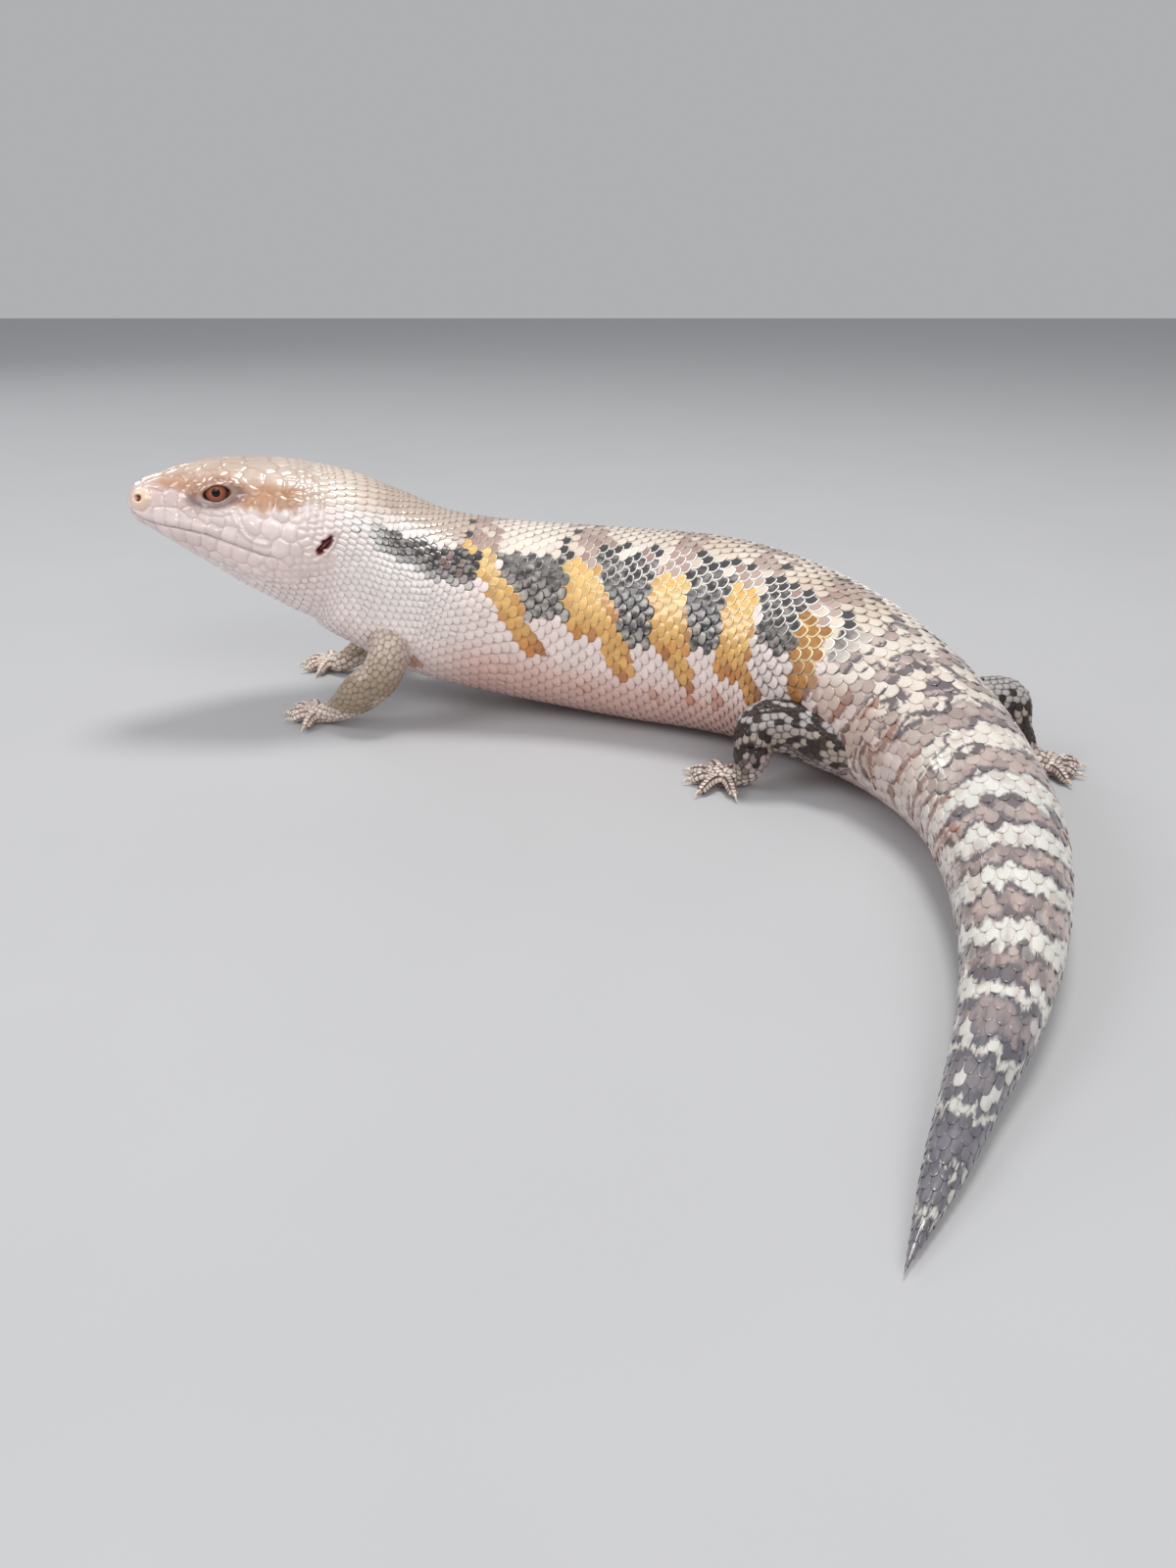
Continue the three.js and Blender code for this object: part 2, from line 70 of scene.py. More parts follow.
# Trunk and tail sections: axis x, y, z, half-width, height above and below the axis, belly squareness
BODY_SECTIONS = [
    (-90, 7, 48.3, 24.8, 21.9, 27.8, 2.1),
    (-75, 9, 41.8, 26.2, 21.7, 30.2, 2.2),
    (-55, 9.5, 36, 27.8, 23.9, 30, 2.3),
    (-31.5, 8, 31.6, 29.4, 26.8, 29.6, 2.4),
    (-7, 2.5, 28.8, 30.6, 29.1, 29.3, 2.4),
    (17, -8, 28.2, 30.4, 29.1, 28.7, 2.4),
    (37, -23, 26.5, 28.4, 26.8, 27, 2.3),
    (52, -44, 23.8, 25.4, 24, 24.3, 2.2),
    (64, -68.5, 20, 21.2, 20, 20.5, 2.1),
    (70, -96.5, 16.3, 17, 16.3, 16.8, 2.1),
    (68.5, -124.5, 13.6, 14.3, 13.6, 14.1, 2.1),
    (62, -151.5, 10.6, 11.1, 10.6, 11.1, 2.1),
    (52.5, -175, 7.8, 8.1, 7.8, 8.3, 2.1),
    (42, -194.2, 5.2, 5.5, 5.2, 5.7, 2.1),
    (32.3, -211.5, 3.3, 3.5, 3.3, 3.7, 2.1),
    (21.5, -230.5, 1.2, 0, 0, 0, 2),
]

# Legs: joints along the bone line with the flesh's radius, the palm and the tips of the claws
LEGS = {
    "fore_left": {
        "joints": [
            (-80, -3, 31, 7.6), (-85.5, -10, 28.4, 6.7), (-86, -15, 23.4, 6.3), (-89, -17.5, 17.6, 6.4),
            (-95, -17, 12.6, 6.3), (-100.3, -15, 8, 4.9), (-105, -12, 4.6, 3.6),
        ],
        "palm": (-110.5, -9, 2.3, 4.5),
        "claw_tips": [(-115.6, 5.8), (-121, 2.2), (-123, -5.8), (-121.2, -12.6), (-113.8, -20.8)],
    },
    "fore_right": {
        "joints": [
            (-80, 21, 31, 7.6), (-85, 28, 28.4, 6.7), (-87, 34, 23.4, 6.3), (-90.5, 37, 17.6, 6.2),
            (-98, 37, 12.2, 5.6), (-105, 36, 8, 4.6), (-110.5, 35.5, 4.6, 3.6),
        ],
        "palm": (-116, 41, 2.3, 4.5),
        "claw_tips": [(-119.8, 29.6), (-126.2, 34.6), (-128.2, 41.8), (-126.4, 49.4), (-119.6, 56)],
    },
    "hind_left": {
        "joints": [
            (50, -57, 15, 8.8), (44.5, -64.5, 15.6, 8.7), (34.5, -58.5, 17, 8.3), (22, -60, 19.2, 6.5),
            (20.4, -61.5, 13.6, 5.7), (19.6, -60.4, 8.6, 4.9), (18.6, -58.6, 4.8, 4),
        ],
        "palm": (13, -56.4, 2.4, 4.7),
        "claw_tips": [(10.4, -43.4), (2, -49.6), (1.2, -57.8), (4, -67), (15.4, -69.6)],
    },
    "hind_right": {
        "joints": [
            (66, -54, 15, 8.8), (75, -49, 17, 8.6), (86, -43.5, 19.2, 7.6), (95.2, -42, 19.6, 6.1),
            (97, -44, 12.7, 5.2), (99, -46, 8, 4.6), (101, -47.5, 4.8, 3.9),
        ],
        "palm": (106.4, -49, 2.4, 4.7),
        "claw_tips": [(112.4, -37.6), (118.4, -41.8), (119, -47.2), (116, -54.6), (109.8, -61)],
    },
}
PALM_FLATNESS = 0.62
# The part of the palm's radius that the bone line ends with, and where root and knuckle of a toe lie
# on the way from the palm to its tip
PALM_BONE = 0.8
TOE_ROOT_AT = 0.25
KNUCKLE_AT = 0.62
CLAW_REACH = 2.5
TOE_ROOT = 2.0
TOE_TIP = 1.5
TOE_KNUCKLE_HEIGHT = 2.6
TOE_TIP_HEIGHT = 1.2
# Sections that a tube has from one joint of a limb to the next, and over the palm
LIMB_STEPS = 6
PALM_STEPS = 17

# How deep the skin lies under the outline, to leave room for the scales
BODY_COAT = 0.45
LIMB_COAT = 0.3
# The least height of the skin, which leaves the floor to the scales
SKIN_FLOOR_GAP = 0.12

# Head features in the head's own axes: back from the snout, to the side, up
EYE = {"back": 22.2, "side": 10.7, "up": 9.0, "radius": 4.4}
EAR = {"back": 53.3, "up": 2.6, "long": 3.7, "short": 1.25, "slant": 30 * DEG}
NOSTRIL = {"back": 2.1, "up": 1.8, "scale_radius": 3.5}
MOUTH_BACK = (0, 3.6, 7.4, 15.7, 21.3, 28.2, 34, 39.7, 43.6)
MOUTH_UP = (-3.2, -4.1, -4.4, -3.3, -2.9, -3.5, -4.1, -4.1, -4.7)

# The camera of the photograph: place in metres, pitch, and a 36 mm lens on a 36 mm wide frame
CAMERA_PLACE = (-0.025, -0.357, 0.140)
CAMERA_PITCH = 25 * DEG
CAMERA_LENS = 36


def vectors(*columns):
    """Columns of coordinates put together into vectors."""
    return np.stack(np.broadcast_arrays(*columns), -1).astype(float)


def unit(v):
    """Vectors brought to length 1."""
    return v / np.maximum(np.linalg.norm(v, axis=-1, keepdims=True), 1e-12)


def smooth(low, high, x):
    """From 0 at low to 1 at high, eased at both ends. It falls where low is the larger one."""
    t = np.clip((x - low) / (high - low), 0, 1)
    return t * t * (3 - 2 * t)


def ridge(x, middle, width):
    """A rounded ridge of height 1 along x = middle."""
    return np.exp(-(((x - middle) / width) ** 2))


def mix(a, b, t):
    """Colours t of the way from a to b, with t from 0 to 1 for each point."""
    t = np.asarray(t)[..., None]
    return a * (1 - t) + b * t


def blend(values, place):
    """Smooth value between listed rows: the place is a whole number at each row."""
    last = len(values) - 1
    i = np.minimum(np.floor(place).astype(int), last - 1)
    t = (place - i)[:, None]
    a, b, c, d = (values[np.clip(i + k, 0, last)] for k in (-1, 0, 1, 2))
    return b + 0.5 * t * ((c - a) + t * ((2 * a - 5 * b + 4 * c - d) + t * (3 * b - a - 3 * c + d)))


def hashed(cells, seed):
    """A repeatable value from 0 to 1 for each row of whole numbers."""
    h = np.full(cells.shape[:-1], seed * 374761393 % 2**32, np.uint64)
    for k, prime in enumerate((668265263, 2246822519, 3266489917)[: cells.shape[-1]]):
        h = (h ^ ((cells[..., k].astype(np.int64) & 0xFFFFFFFF).astype(np.uint64) * prime)) & 0xFFFFFFFF
        h = (h ^ (h >> 15)) * 2246822519 & 0xFFFFFFFF
        h = (h ^ (h >> 13)) * 3266489917 & 0xFFFFFFFF
    return (h & 0xFFFFFF) / float(0x1000000)


def noise(points, size, seed):
    """Smooth noise from 0 to 1, with features about size across, at points of 1 to 3 coordinates."""
    p = np.asarray(points, float) / size
    low = np.floor(p).astype(int)
    t = p - low
    t = t * t * (3 - 2 * t)
    dims = p.shape[-1]
    total = np.zeros(p.shape[:-1])
    for corner in np.ndindex(*(2,) * dims):
        c = np.array(corner)
        weight = np.prod(np.where(c == 1, t, 1 - t), axis=-1)
        total += weight * hashed(low + c, seed)
    return total


class Tube:
    """A closed form of sections along a line. A place on it is s, the way along in millimetres,
    and q, the way round as a part of the girth: 0 on top, positive to the animal's right. Each row
    holds x, y, z, half-width, heights above and below, and how square it is above and below."""

    STEPS = 60
    ROUND = 240

    def __init__(self, rows):
        rows = np.array(rows, float)
        place = np.linspace(0, len(rows) - 1, (len(rows) - 1) * self.STEPS + 1)
        table = blend(rows, place)
        table[:, 3:6] = np.maximum(table[:, 3:6], 0)
        centre = table[:, :3]
        self.centre = centre
        self.s = np.concatenate([[0], np.cumsum(np.linalg.norm(np.diff(centre, axis=0), axis=1))])
        self.length = self.s[-1]
        along = unit(np.gradient(centre, axis=0))
        right = unit(vectors(-along[:, 1], along[:, 0], np.zeros(len(along))))
        up = np.cross(along, right)
        self.axes = (along, right, up)
        self.shape = table[:, 3:]
        self.girth, self.points = self.even_sections()
        self.normals = self.outward_normals()

    def even_sections(self):
        """The girth of every section, and its points spread evenly round it."""
        every = np.arange(len(self.s))[:, None]
        angle = np.linspace(-np.pi, np.pi, 4 * self.ROUND + 1)
        dense = self.section(every, angle[None, :])
        arc = np.linalg.norm(np.diff(dense, axis=1), axis=2)
        arc = np.concatenate([np.zeros((len(every), 1)), np.cumsum(arc, axis=1)], axis=1)
        want = np.linspace(0, 1, self.ROUND + 1)
        even = np.array([np.interp(want, a / max(a[-1], 1e-9), angle) for a in arc])
        return arc[:, -1], self.section(every, even)

    def outward_normals(self):
        """The directions straight out at the points of the sections."""
        points = self.points
        across = np.roll(points[:, :-1], -1, axis=1) - np.roll(points[:, :-1], 1, axis=1)
        across = np.concatenate([across, across[:, :1]], axis=1)
        normal = np.cross(np.gradient(points, axis=0), across)
        outward = points - self.centre[:, None]
        normals = unit(normal * np.sign(np.sum(normal * outward, axis=-1).sum()))
        normals[0] = -self.axes[0][0]
        normals[-1] = self.axes[0][-1]
        return normals

    def section(self, k, angle):
        """Points of section k at angles round it, 0 on top."""
        half, tall_up, tall_down, back, belly = (self.shape[k, i] for i in range(5))
        s, c = np.sin(angle), np.cos(angle)
        roundness = np.where(c > 0, back, belly)
        tall = np.where(c > 0, tall_up, tall_down)
        x = np.sign(s) * np.abs(s) ** (2 / roundness) * half
        z = np.sign(c) * np.abs(c) ** (2 / roundness) * tall
        _, right, up = self.axes
        return self.centre[k] + right[k] * x[..., None] + up[k] * z[..., None]

    def at(self, table, s, q):
        """The value at s, q of a table that has one for each point of the sections."""
        f = np.interp(s, self.s, np.arange(len(self.s)))
        i = np.minimum(f.astype(int), len(self.s) - 2)
        t = (f - i)[..., None]
        g = ((np.asarray(q) + 0.5) % 1.0) * self.ROUND
        j = np.minimum(g.astype(int), self.ROUND - 1)
        u = (g - j)[..., None]
        low = table[i, j] * (1 - u) + table[i, j + 1] * u
        high = table[i + 1, j] * (1 - u) + table[i + 1, j + 1] * u
        return low * (1 - t) + high * t

    def point(self, s, q, lift=0.0):
        """Points of the surface, or lift above it."""
        s, q = np.broadcast_arrays(np.asarray(s, float), np.asarray(q, float))
        return self.at(self.points, s, q) + self.normal(s, q) * np.asarray(lift)[..., None]

    def normal(self, s, q):
        """The direction straight out at s, q."""
        s, q = np.broadcast_arrays(np.asarray(s, float), np.asarray(q, float))
        return unit(self.at(self.normals, s, q))

    def girth_at(self, s):
        """How far it is all the way round at s."""
        return np.interp(s, self.s, self.girth)

    def inside(self, points, margin):
        """Whether points lie deeper than margin inside the form."""
        best = np.full(len(points), np.inf)
        nearest = np.zeros(len(points), int)
        for k in range(0, len(self.s), 4):
            d = np.sum((points - self.centre[k]) ** 2, axis=1)
            closer = d < best
            best[closer] = d[closer]
            nearest[closer] = k
        _, right, up = self.axes
        away = points - self.centre[nearest]
        x = np.sum(away * right[nearest], axis=1)
        z = np.sum(away * up[nearest], axis=1)
        half, tall_up, tall_down, back, belly = (self.shape[nearest, i] for i in range(5))
        tall = np.maximum(np.where(z > 0, tall_up, tall_down) - margin, 0.01)
        roundness = np.where(z > 0, back, belly)
        wide = np.maximum(half - margin, 0.01)
        return (np.abs(x) / wide) ** roundness + (np.abs(z) / tall) ** roundness < 1


# The head's own axes, pointing back, to the animal's right and up
HEAD_BACK = np.array([
    math.cos(HEAD_YAW) * math.cos(HEAD_PITCH),
    math.sin(HEAD_YAW) * math.cos(HEAD_PITCH),
    -math.sin(HEAD_PITCH),
])
HEAD_RIGHT = np.array([-math.sin(HEAD_YAW), math.cos(HEAD_YAW), 0.0])
HEAD_UP = np.cross(HEAD_BACK, HEAD_RIGHT)
HEAD_AXES = np.array([HEAD_BACK, HEAD_RIGHT, HEAD_UP])


def head_point(back, right, up):
    """A point given in the head's own axes."""
    return SNOUT_TIP + vectors(back, right, up) @ HEAD_AXES


def head_place(points):
    """Back, right and up of points, in the head's own axes."""
    return (points - SNOUT_TIP) @ HEAD_AXES.T


def body_tube():
    """Head, trunk and tail as one tube."""
    rows = []
    for back, half, up, down in HEAD_SECTIONS:
        rows.append((*head_point(back, 0, 0), half, up, down, CROWN_ROUNDNESS, JAW_ROUNDNESS))
    for x, y, z, half, up, down, belly in BODY_SECTIONS:
        rows.append((x, y, z, half, up, down, BACK_ROUNDNESS, belly))
    return Tube(rows)


BODY = body_tube()
# How far along the body the fine skin of the head reaches
HEAD_END = 62.0


def limb_tube(joints):
    """A limb's tube from joints of x, y, z and radius, closed round at both ends."""
    joints = np.array(joints, float)
    place = np.linspace(0, len(joints) - 1, LIMB_STEPS * (len(joints) - 1) + 1)
    line = blend(joints, place)
    way = np.concatenate([[0], np.cumsum(np.linalg.norm(np.diff(line[:, :3], axis=0), axis=1))])
    ends = np.minimum(way, way[-1] - way)
    radius = line[:, 3]
    closing = np.sqrt(np.clip(1 - (1 - np.minimum(ends / radius, 1)) ** 2, 0, 1))
    rows = []
    for (x, y, z, r), c in zip(line, closing):
        rows.append((x, y, z, r * c, r * c, r * c, 2, 2))
    return Tube(rows)


def palm_tube(wrist, palm):
    """The palm, flat and round, from the wrist to the roots of the toes."""
    wrist = np.array(wrist[:3], float)
    centre = np.array(palm[:3], float)
    radius = palm[3]
    heading = unit((centre - wrist) * (1, 1, 0))
    rows = []
    for t in np.linspace(-1, 1, PALM_STEPS):
        wide = radius * math.sqrt(max(1 - t * t, 0))
        tall = wide * PALM_FLATNESS
        rows.append((*(centre + heading * radius * t), wide, tall, tall, 2, 2))
    return Tube(rows)


def toe_line(palm, claw_tip):
    """Joints of a toe that arches from the palm over its knuckle to its tip, with the tip's place
    and the toe's heading."""
    start = np.array(palm[:3], float)
    flat = np.array([palm[0], palm[1], 0.0])
    end = np.array([*claw_tip, 0.0])
    heading = unit(end - flat)
    tip = end - heading * CLAW_REACH
    tip[2] = TOE_TIP_HEIGHT
    root = start + (tip - start) * TOE_ROOT_AT
    root[2] = palm[2]
    knuckle = start + (tip - start) * KNUCKLE_AT
    knuckle[2] = TOE_KNUCKLE_HEIGHT
    joints = [(*root, TOE_ROOT), (*knuckle, (TOE_ROOT + TOE_TIP) / 2), (*tip, TOE_TIP)]
    return joints, tip, heading


class Leg:
    """One leg: tubes for the limb, the palm and the toes, and the claws' roots and headings."""

    def __init__(self, name, joints, palm, claw_tips):
        self.name = name
        self.fore = name.startswith("fore")
        self.limb = limb_tube([*joints, (*palm[:3], palm[3] * PALM_BONE)])
        self.palm = palm_tube(joints[-1], palm)
        self.toes = []
        self.claws = []
        for tip_place in claw_tips:
            line, tip, heading = toe_line(palm, tip_place)
            self.toes.append(limb_tube(line))
            self.claws.append((tip, heading))
        self.tubes = [self.limb, self.palm, *self.toes]

    def nodes(self, *parts):
        """Names of the leg's solids."""
        return [f"{self.name}_{part}" for part in parts]


LEG_SET = [Leg(name, **leg) for name, leg in LEGS.items()]


# Meshes
def new_mesh(name, points, faces):
    """A smooth mesh from points in millimetres and a list of arrays of faces of one size each."""
    mesh = bpy.data.meshes.new(name)
    points = np.asarray(points, float) * MM
    mesh.vertices.add(len(points))
    mesh.vertices.foreach_set("co", points.astype(np.float32).ravel())
    loops = np.concatenate([f.ravel() for f in faces]).astype(np.int32)
    totals = np.concatenate([np.full(len(f), f.shape[1]) for f in faces]).astype(np.int32)
    starts = np.concatenate([[0], np.cumsum(totals)[:-1]]).astype(np.int32)
    mesh.loops.add(len(loops))
    mesh.loops.foreach_set("vertex_index", loops)
    mesh.polygons.add(len(totals))
    mesh.polygons.foreach_set("loop_start", starts)
    mesh.polygons.foreach_set("loop_total", totals)
    mesh.polygons.foreach_set("use_smooth", np.ones(len(totals), bool))
    mesh.update(calc_edges=True)
    mesh.validate()
    piece = bpy.data.objects.new(name, mesh)
    bpy.context.scene.collection.objects.link(piece)
    return piece


def set_colour(piece, values):
    """A colour for each point."""
    values = np.concatenate([values, np.ones((len(values), 1))], axis=1).astype(np.float32)
    layer = piece.data.color_attributes.new("colour", "FLOAT_COLOR", "POINT")
    layer.data.foreach_set("color", values.ravel())


def tube_mesh_parts(tube, rings, sides):
    """Points, places and faces of a closed tube. rings are ways along, sides a number of points for
    each ring, which may fall to a part of it from one ring to the next."""
    points = [tube.point(0.0, 0.0)[None]]
    places = [np.array([[0.0, 0.0]])]
    starts = []
    count = 1
    for s, n in zip(rings, sides):
        q = np.arange(n) / n
        starts.append(count)
        points.append(tube.point(np.full(n, s), q))
        places.append(np.stack([np.full(n, s), (q + 0.5) % 1 - 0.5], 1))
        count += n
    points.append(tube.point(tube.length, 0.0)[None])
    places.append(np.array([[tube.length, 0.0]]))
    quads, triangles = [], []
    for k in range(len(rings) - 1):
        a, b = starts[k], starts[k + 1]
        na, nb = sides[k], sides[k + 1]
        i = np.arange(na)
        if na == nb:
            quads.append(np.stack([a + i, b + i, b + (i + 1) % nb, a + (i + 1) % na], 1))
        else:
            times = na // nb
            nearest = i // times + (i % times >= times // 2)
            mid = np.arange(nb)
            triangles.append(np.stack([a + i, b + nearest % nb, a + (i + 1) % na], 1))
            triangles.append(np.stack([a + mid * times + times // 2, b + mid, b + (mid + 1) % nb], 1))
    for start, middle, n, step in ((starts[0], 0, sides[0], 1), (starts[-1], count, sides[-1], -1)):
        ring = np.stack([np.arange(n), (np.arange(n) + 1) % n], 1)[:, ::step] + start
        triangles.append(np.concatenate([np.full((n, 1), middle), ring], 1))
    return np.concatenate(points), np.concatenate(places), quads, triangles


def srgb(r, g, b):
    """A linear colour from screen values of 0 to 255."""
    v = np.array([r, g, b]) / 255
    return np.where(v <= 0.04045, v / 12.92, ((v + 0.055) / 1.055) ** 2.4)


# Colours of the animal
CREAM = srgb(236, 224, 212)
TAN = srgb(210, 191, 172)
NAPE = srgb(178, 156, 142)
PINK_BROWN = srgb(164, 134, 124)
WHITE = srgb(234, 229, 222)
# The white net on the scales' edges: partly their pale edges, partly painted glints on them
PALE_NET_AND_GLINT = srgb(252, 249, 244)
COOL_WHITE = srgb(236, 234, 231)
BELLY = srgb(216, 178, 166)
# Pale throat, brightened beyond its own colour with painted light bounced up from below
THROAT_PALE_AND_BOUNCE_LIGHT = srgb(252, 238, 234)
FLANK = srgb(234, 217, 211)
DARK = srgb(52, 48, 49)
GREY = srgb(176, 168, 161)
YELLOW = srgb(226, 182, 112)
YELLOW_PALE = srgb(238, 206, 146)
# Pale yellow edges where the net runs over the yellow, partly painted glints
YELLOW_NET_AND_GLINT = srgb(246, 226, 184)
ORANGE = srgb(196, 120, 52)
RUST = srgb(156, 98, 74)
PALE_RUMP = srgb(217, 204, 191)
RUMP_SIDE = srgb(172, 143, 126)
GREEN_CREAM = srgb(220, 219, 212)
SLATE = srgb(116, 106, 108)
BLUE_SLATE = srgb(104, 103, 112)
BAND_BROWN = srgb(176, 154, 147)
KHAKI = srgb(156, 139, 119)
HIND_DARK = srgb(42, 34, 31)
HIND_PALE = srgb(164, 149, 139)
HIND_TOP = srgb(168, 162, 160)
HIND_BROWN = srgb(82, 64, 56)
HIND_UNDER = srgb(170, 152, 150)
FOOT = srgb(236, 219, 208)
FOOT_EDGE = srgb(158, 130, 118)


# Head shields, by the places of their middles: (back, side) for crown and throat, (back, up) for the
# flanks. A long shield of the crown has several. All but those on the midline come in pairs
CROWN_SHIELDS = [
    [(6.4, 0)], [(10.6, 3.6)], [(14.6, 0), (18, 0), (21.2, 0)], [(15.2, 6.6)], [(20.2, 7.8)],
    [(25.4, 8.4)], [(26, 2.7)], [(31.6, 0)], [(33, 5.6), (35, 8)], [(39.8, 3.2)], [(41, 10.2)],
    [(45.6, 3.6)], [(31.2, 12.6)], [(37.6, 14.4)],
]
FLANK_SHIELDS = [
    (14.2, 11), (17.4, 12.8), (20.8, 13.6), (24.2, 13.7), (27.6, 13.2), (6.6, 3.4), (7.4, 7),
    (10.2, 4.8), (13.9, 5.4), (12, 9), (16.4, 2.6), (20, 1.8), (23.6, 2.2), (27, 3.8), (29.6, 8.6),
    (4.4, -1.9), (7.9, -1.7), (11.5, -1.1), (15.2, -0.6), (19, -0.5), (23, -0.7), (27.2, -0.6),
    (31.6, -1.4), (36.2, -1.6), (32.8, 3.4), (34.8, 9), (38.2, 3.6), (40.2, 9), (41.6, -0.8), (43.4, 4),
    (45, 8.4), (46, -1), (48, 2.4), (3.4, -5.7), (6.6, -6.2), (10.2, -6.2), (14, -5.8), (18, -5.4),
    (22.2, -5.4), (26.6, -5.9), (31.2, -6.4), (35.6, -6.7), (39.8, -6.7), (43.6, -6.2), (9, -9),
    (13, -9.2), (17, -8.9), (21, -8.9), (25, -9.3), (29, -9.9), (33, -10.2), (37, -10.2), (40.6, -9.8),
    (15.6, -11.8), (19.4, -12.1), (23.2, -12.5), (27, -13), (30.8, -13.5), (34.4, -13.7),
]
THROAT_SHIELDS = [(5.6, 0), (9.4, 2.8), (14.2, 3.4), (19.4, 4.2), (24.6, 4.6)]
# How far before the rows of scales small shields like them begin, and their least distance from the
# middles of the large ones
SMALL_SHIELDS = 9.0
SMALL_SHIELD_ROOM = 2.2
# Rings of small shields round the eye: how many openings of the lids out, and how many in the ring
LID_RINGS = ((1.25, 18), (1.65, 16), (2.15, 15))
# The opening of the lids: its tilt, half its length and height, and how pointed its corners are
LID_TILT = 22 * DEG
OPENING = {"long": 3.6, "tall": 2.2, "corner": 1.5}

# Fullness and hollows of the head: back, up on the flank, reach and height
HEAD_SWELLINGS = [
    (44, -3, 9.5, 0.8),
    (22, 13.2, 4.2, 0.55),
    (11.5, 6.2, 4.8, -0.55),
    (33, 12, 5, -0.4),
    (33, 1, 5, 0.35),
]
# The fold that runs down behind the eye to the corner of the mouth
CHEEK_FOLD = [(27.2, 5.2), (28.6, 3.0), (30.5, 1.1), (32.4, -0.2), (34.4, -0.8), (37.6, -0.7)]


def surface_near(kind, a, b, sign):
    """The point of the head's outline nearest to a place given on the crown, flank or throat."""
    rows = BODY.s < HEAD_END
    points = BODY.points[rows].reshape(-1, 3)
    back, right, up = head_place(points).T
    if kind == "flank":
        away = (back - a) ** 2 + (up - b) ** 2 + np.where(right * sign > 0, 0, 1e6)
    else:
        wanted = up > 0 if kind == "crown" else up < 0
        away = (back - a) ** 2 + (right - sign * b) ** 2 + np.where(wanted, 0, 1e6)
    return points[np.argmin(away)]


def opening_place(back, up):
    """How many openings of the lids points lie out from the middle of the eye."""
    db = back - EYE["back"]
    du = up - EYE["up"]
    long = db * math.cos(LID_TILT) + du * math.sin(LID_TILT)
    tall = du * math.cos(LID_TILT) - db * math.sin(LID_TILT)
    corner = np.abs(long / OPENING["long"]) ** OPENING["corner"]
    return np.sqrt(corner + (tall / OPENING["tall"]) ** 2)


def lid_ring_places():
    """Middles of the small shields round an eye: back, up."""
    for reach, count in LID_RINGS:
        for k in range(count):
            turn = 2 * math.pi * k / count
            long = reach * OPENING["long"] * math.cos(turn)
            tall = reach * OPENING["tall"] * math.sin(turn)
            back = EYE["back"] + long * math.cos(LID_TILT) - tall * math.sin(LID_TILT)
            up = EYE["up"] + long * math.sin(LID_TILT) + tall * math.cos(LID_TILT)
            yield back, up


def shield_seeds():
    """Points at the middles of the head's shields, and the number of the shield of each."""
    shields = [("crown", sign, places) for places in CROWN_SHIELDS for sign in signs_of(places)]
    shields += [("flank", sign, [place]) for place in FLANK_SHIELDS for sign in (-1, 1)]
    shields += [("throat", sign, [place]) for place in THROAT_SHIELDS for sign in signs_of([place])]
    shields += [("flank", sign, [place]) for sign in (-1, 1) for place in lid_ring_places()]
    seeds, owners = [SNOUT_TIP], [0]
    for owner, (kind, sign, places) in enumerate(shields, 1):
        for a, b in places:
            seeds.append(surface_near(kind, a, b, sign))
            owners.append(owner)
    rows = body_scale_rows(SMALL_SHIELDS)
    rows = rows[rows[:, 0] < scale_start(rows[:, 1]) + 3]
    large = np.array(seeds)
    for place in BODY.point(rows[:, 0], rows[:, 1]):
        if np.linalg.norm(large - place, axis=1).min() > SMALL_SHIELD_ROOM:
            seeds.append(place)
            owners.append(owners[-1] + 1)
    return np.array(seeds), np.array(owners)


def signs_of(places):
    """A shield beside the midline is on both sides, one on it is there once."""
    return (-1, 1) if places[0][1] != 0 else (1,)


def shield_pattern(points):
    """For points on the head: the distance to the nearest seam between shields, and the number of
    the shield. Each point belongs to its nearest seed."""
    seeds, owners = shield_seeds()
    wobble = np.stack([noise(points, 1.6, 11 + k) for k in range(3)], 1) - 0.5
    points = points + 0.5 * wobble
    first = np.full(len(points), np.inf)
    second = np.full(len(points), np.inf)
    number = np.full(len(points), -1)
    for seed, owner in zip(seeds, owners):
        away = np.linalg.norm(points - seed, axis=1)
        other = number != owner
        closer = away < first
        second = np.where(other, np.where(closer, first, np.minimum(second, away)), second)
        first = np.minimum(first, away)
        number = np.where(closer, owner, number)
    seam = (second - first) / 2
    nasal_number = owners.max() + 1
    for sign in (-1, 1):
        nostril = surface_near("flank", NOSTRIL["back"], NOSTRIL["up"], sign)
        away = np.linalg.norm(points - nostril, axis=1) - NOSTRIL["scale_radius"]
        seam = np.where(away < 0, -away, np.minimum(seam, away))
        number = np.where(away < 0, nasal_number, number)
    return seam, number


# Where the rows of scales begin behind the head's shields: the way along by the degrees round, how
# ragged that line is, and the border that scales leave round the ear's opening
START_DEGREES = (0, 45, 65, 88, 100, 115, 140, 180)
START_S = (49.4, 52, 53.5, 57, 55, 47, 36, 28)
START_RAGGEDNESS = 4.0
EAR_BORDER = 1.5
# The girth that ragged edges are laid out on
MARK_GIRTH = 150
# A distance that stands for far away
FAR = 9


def scale_start(q):
    """Way along the body where the rows of scales begin behind the head's shields."""
    line = np.interp(np.abs(q) * 360, START_DEGREES, START_S)
    return line + START_RAGGEDNESS * (noise(np.asarray(q)[..., None] * MARK_GIRTH, 5.0, 8) - 0.5)


def segment_distance(x, y, line):
    """The distance of points from a line of several segments."""
    best = np.full(np.shape(x), np.inf)
    for (x0, y0), (x1, y1) in zip(line[:-1], line[1:]):
        length2 = (x1 - x0) ** 2 + (y1 - y0) ** 2
        t = np.clip(((x - x0) * (x1 - x0) + (y - y0) * (y1 - y0)) / length2, 0, 1)
        best = np.minimum(best, np.hypot(x - x0 - t * (x1 - x0), y - y0 - t * (y1 - y0)))
    return best


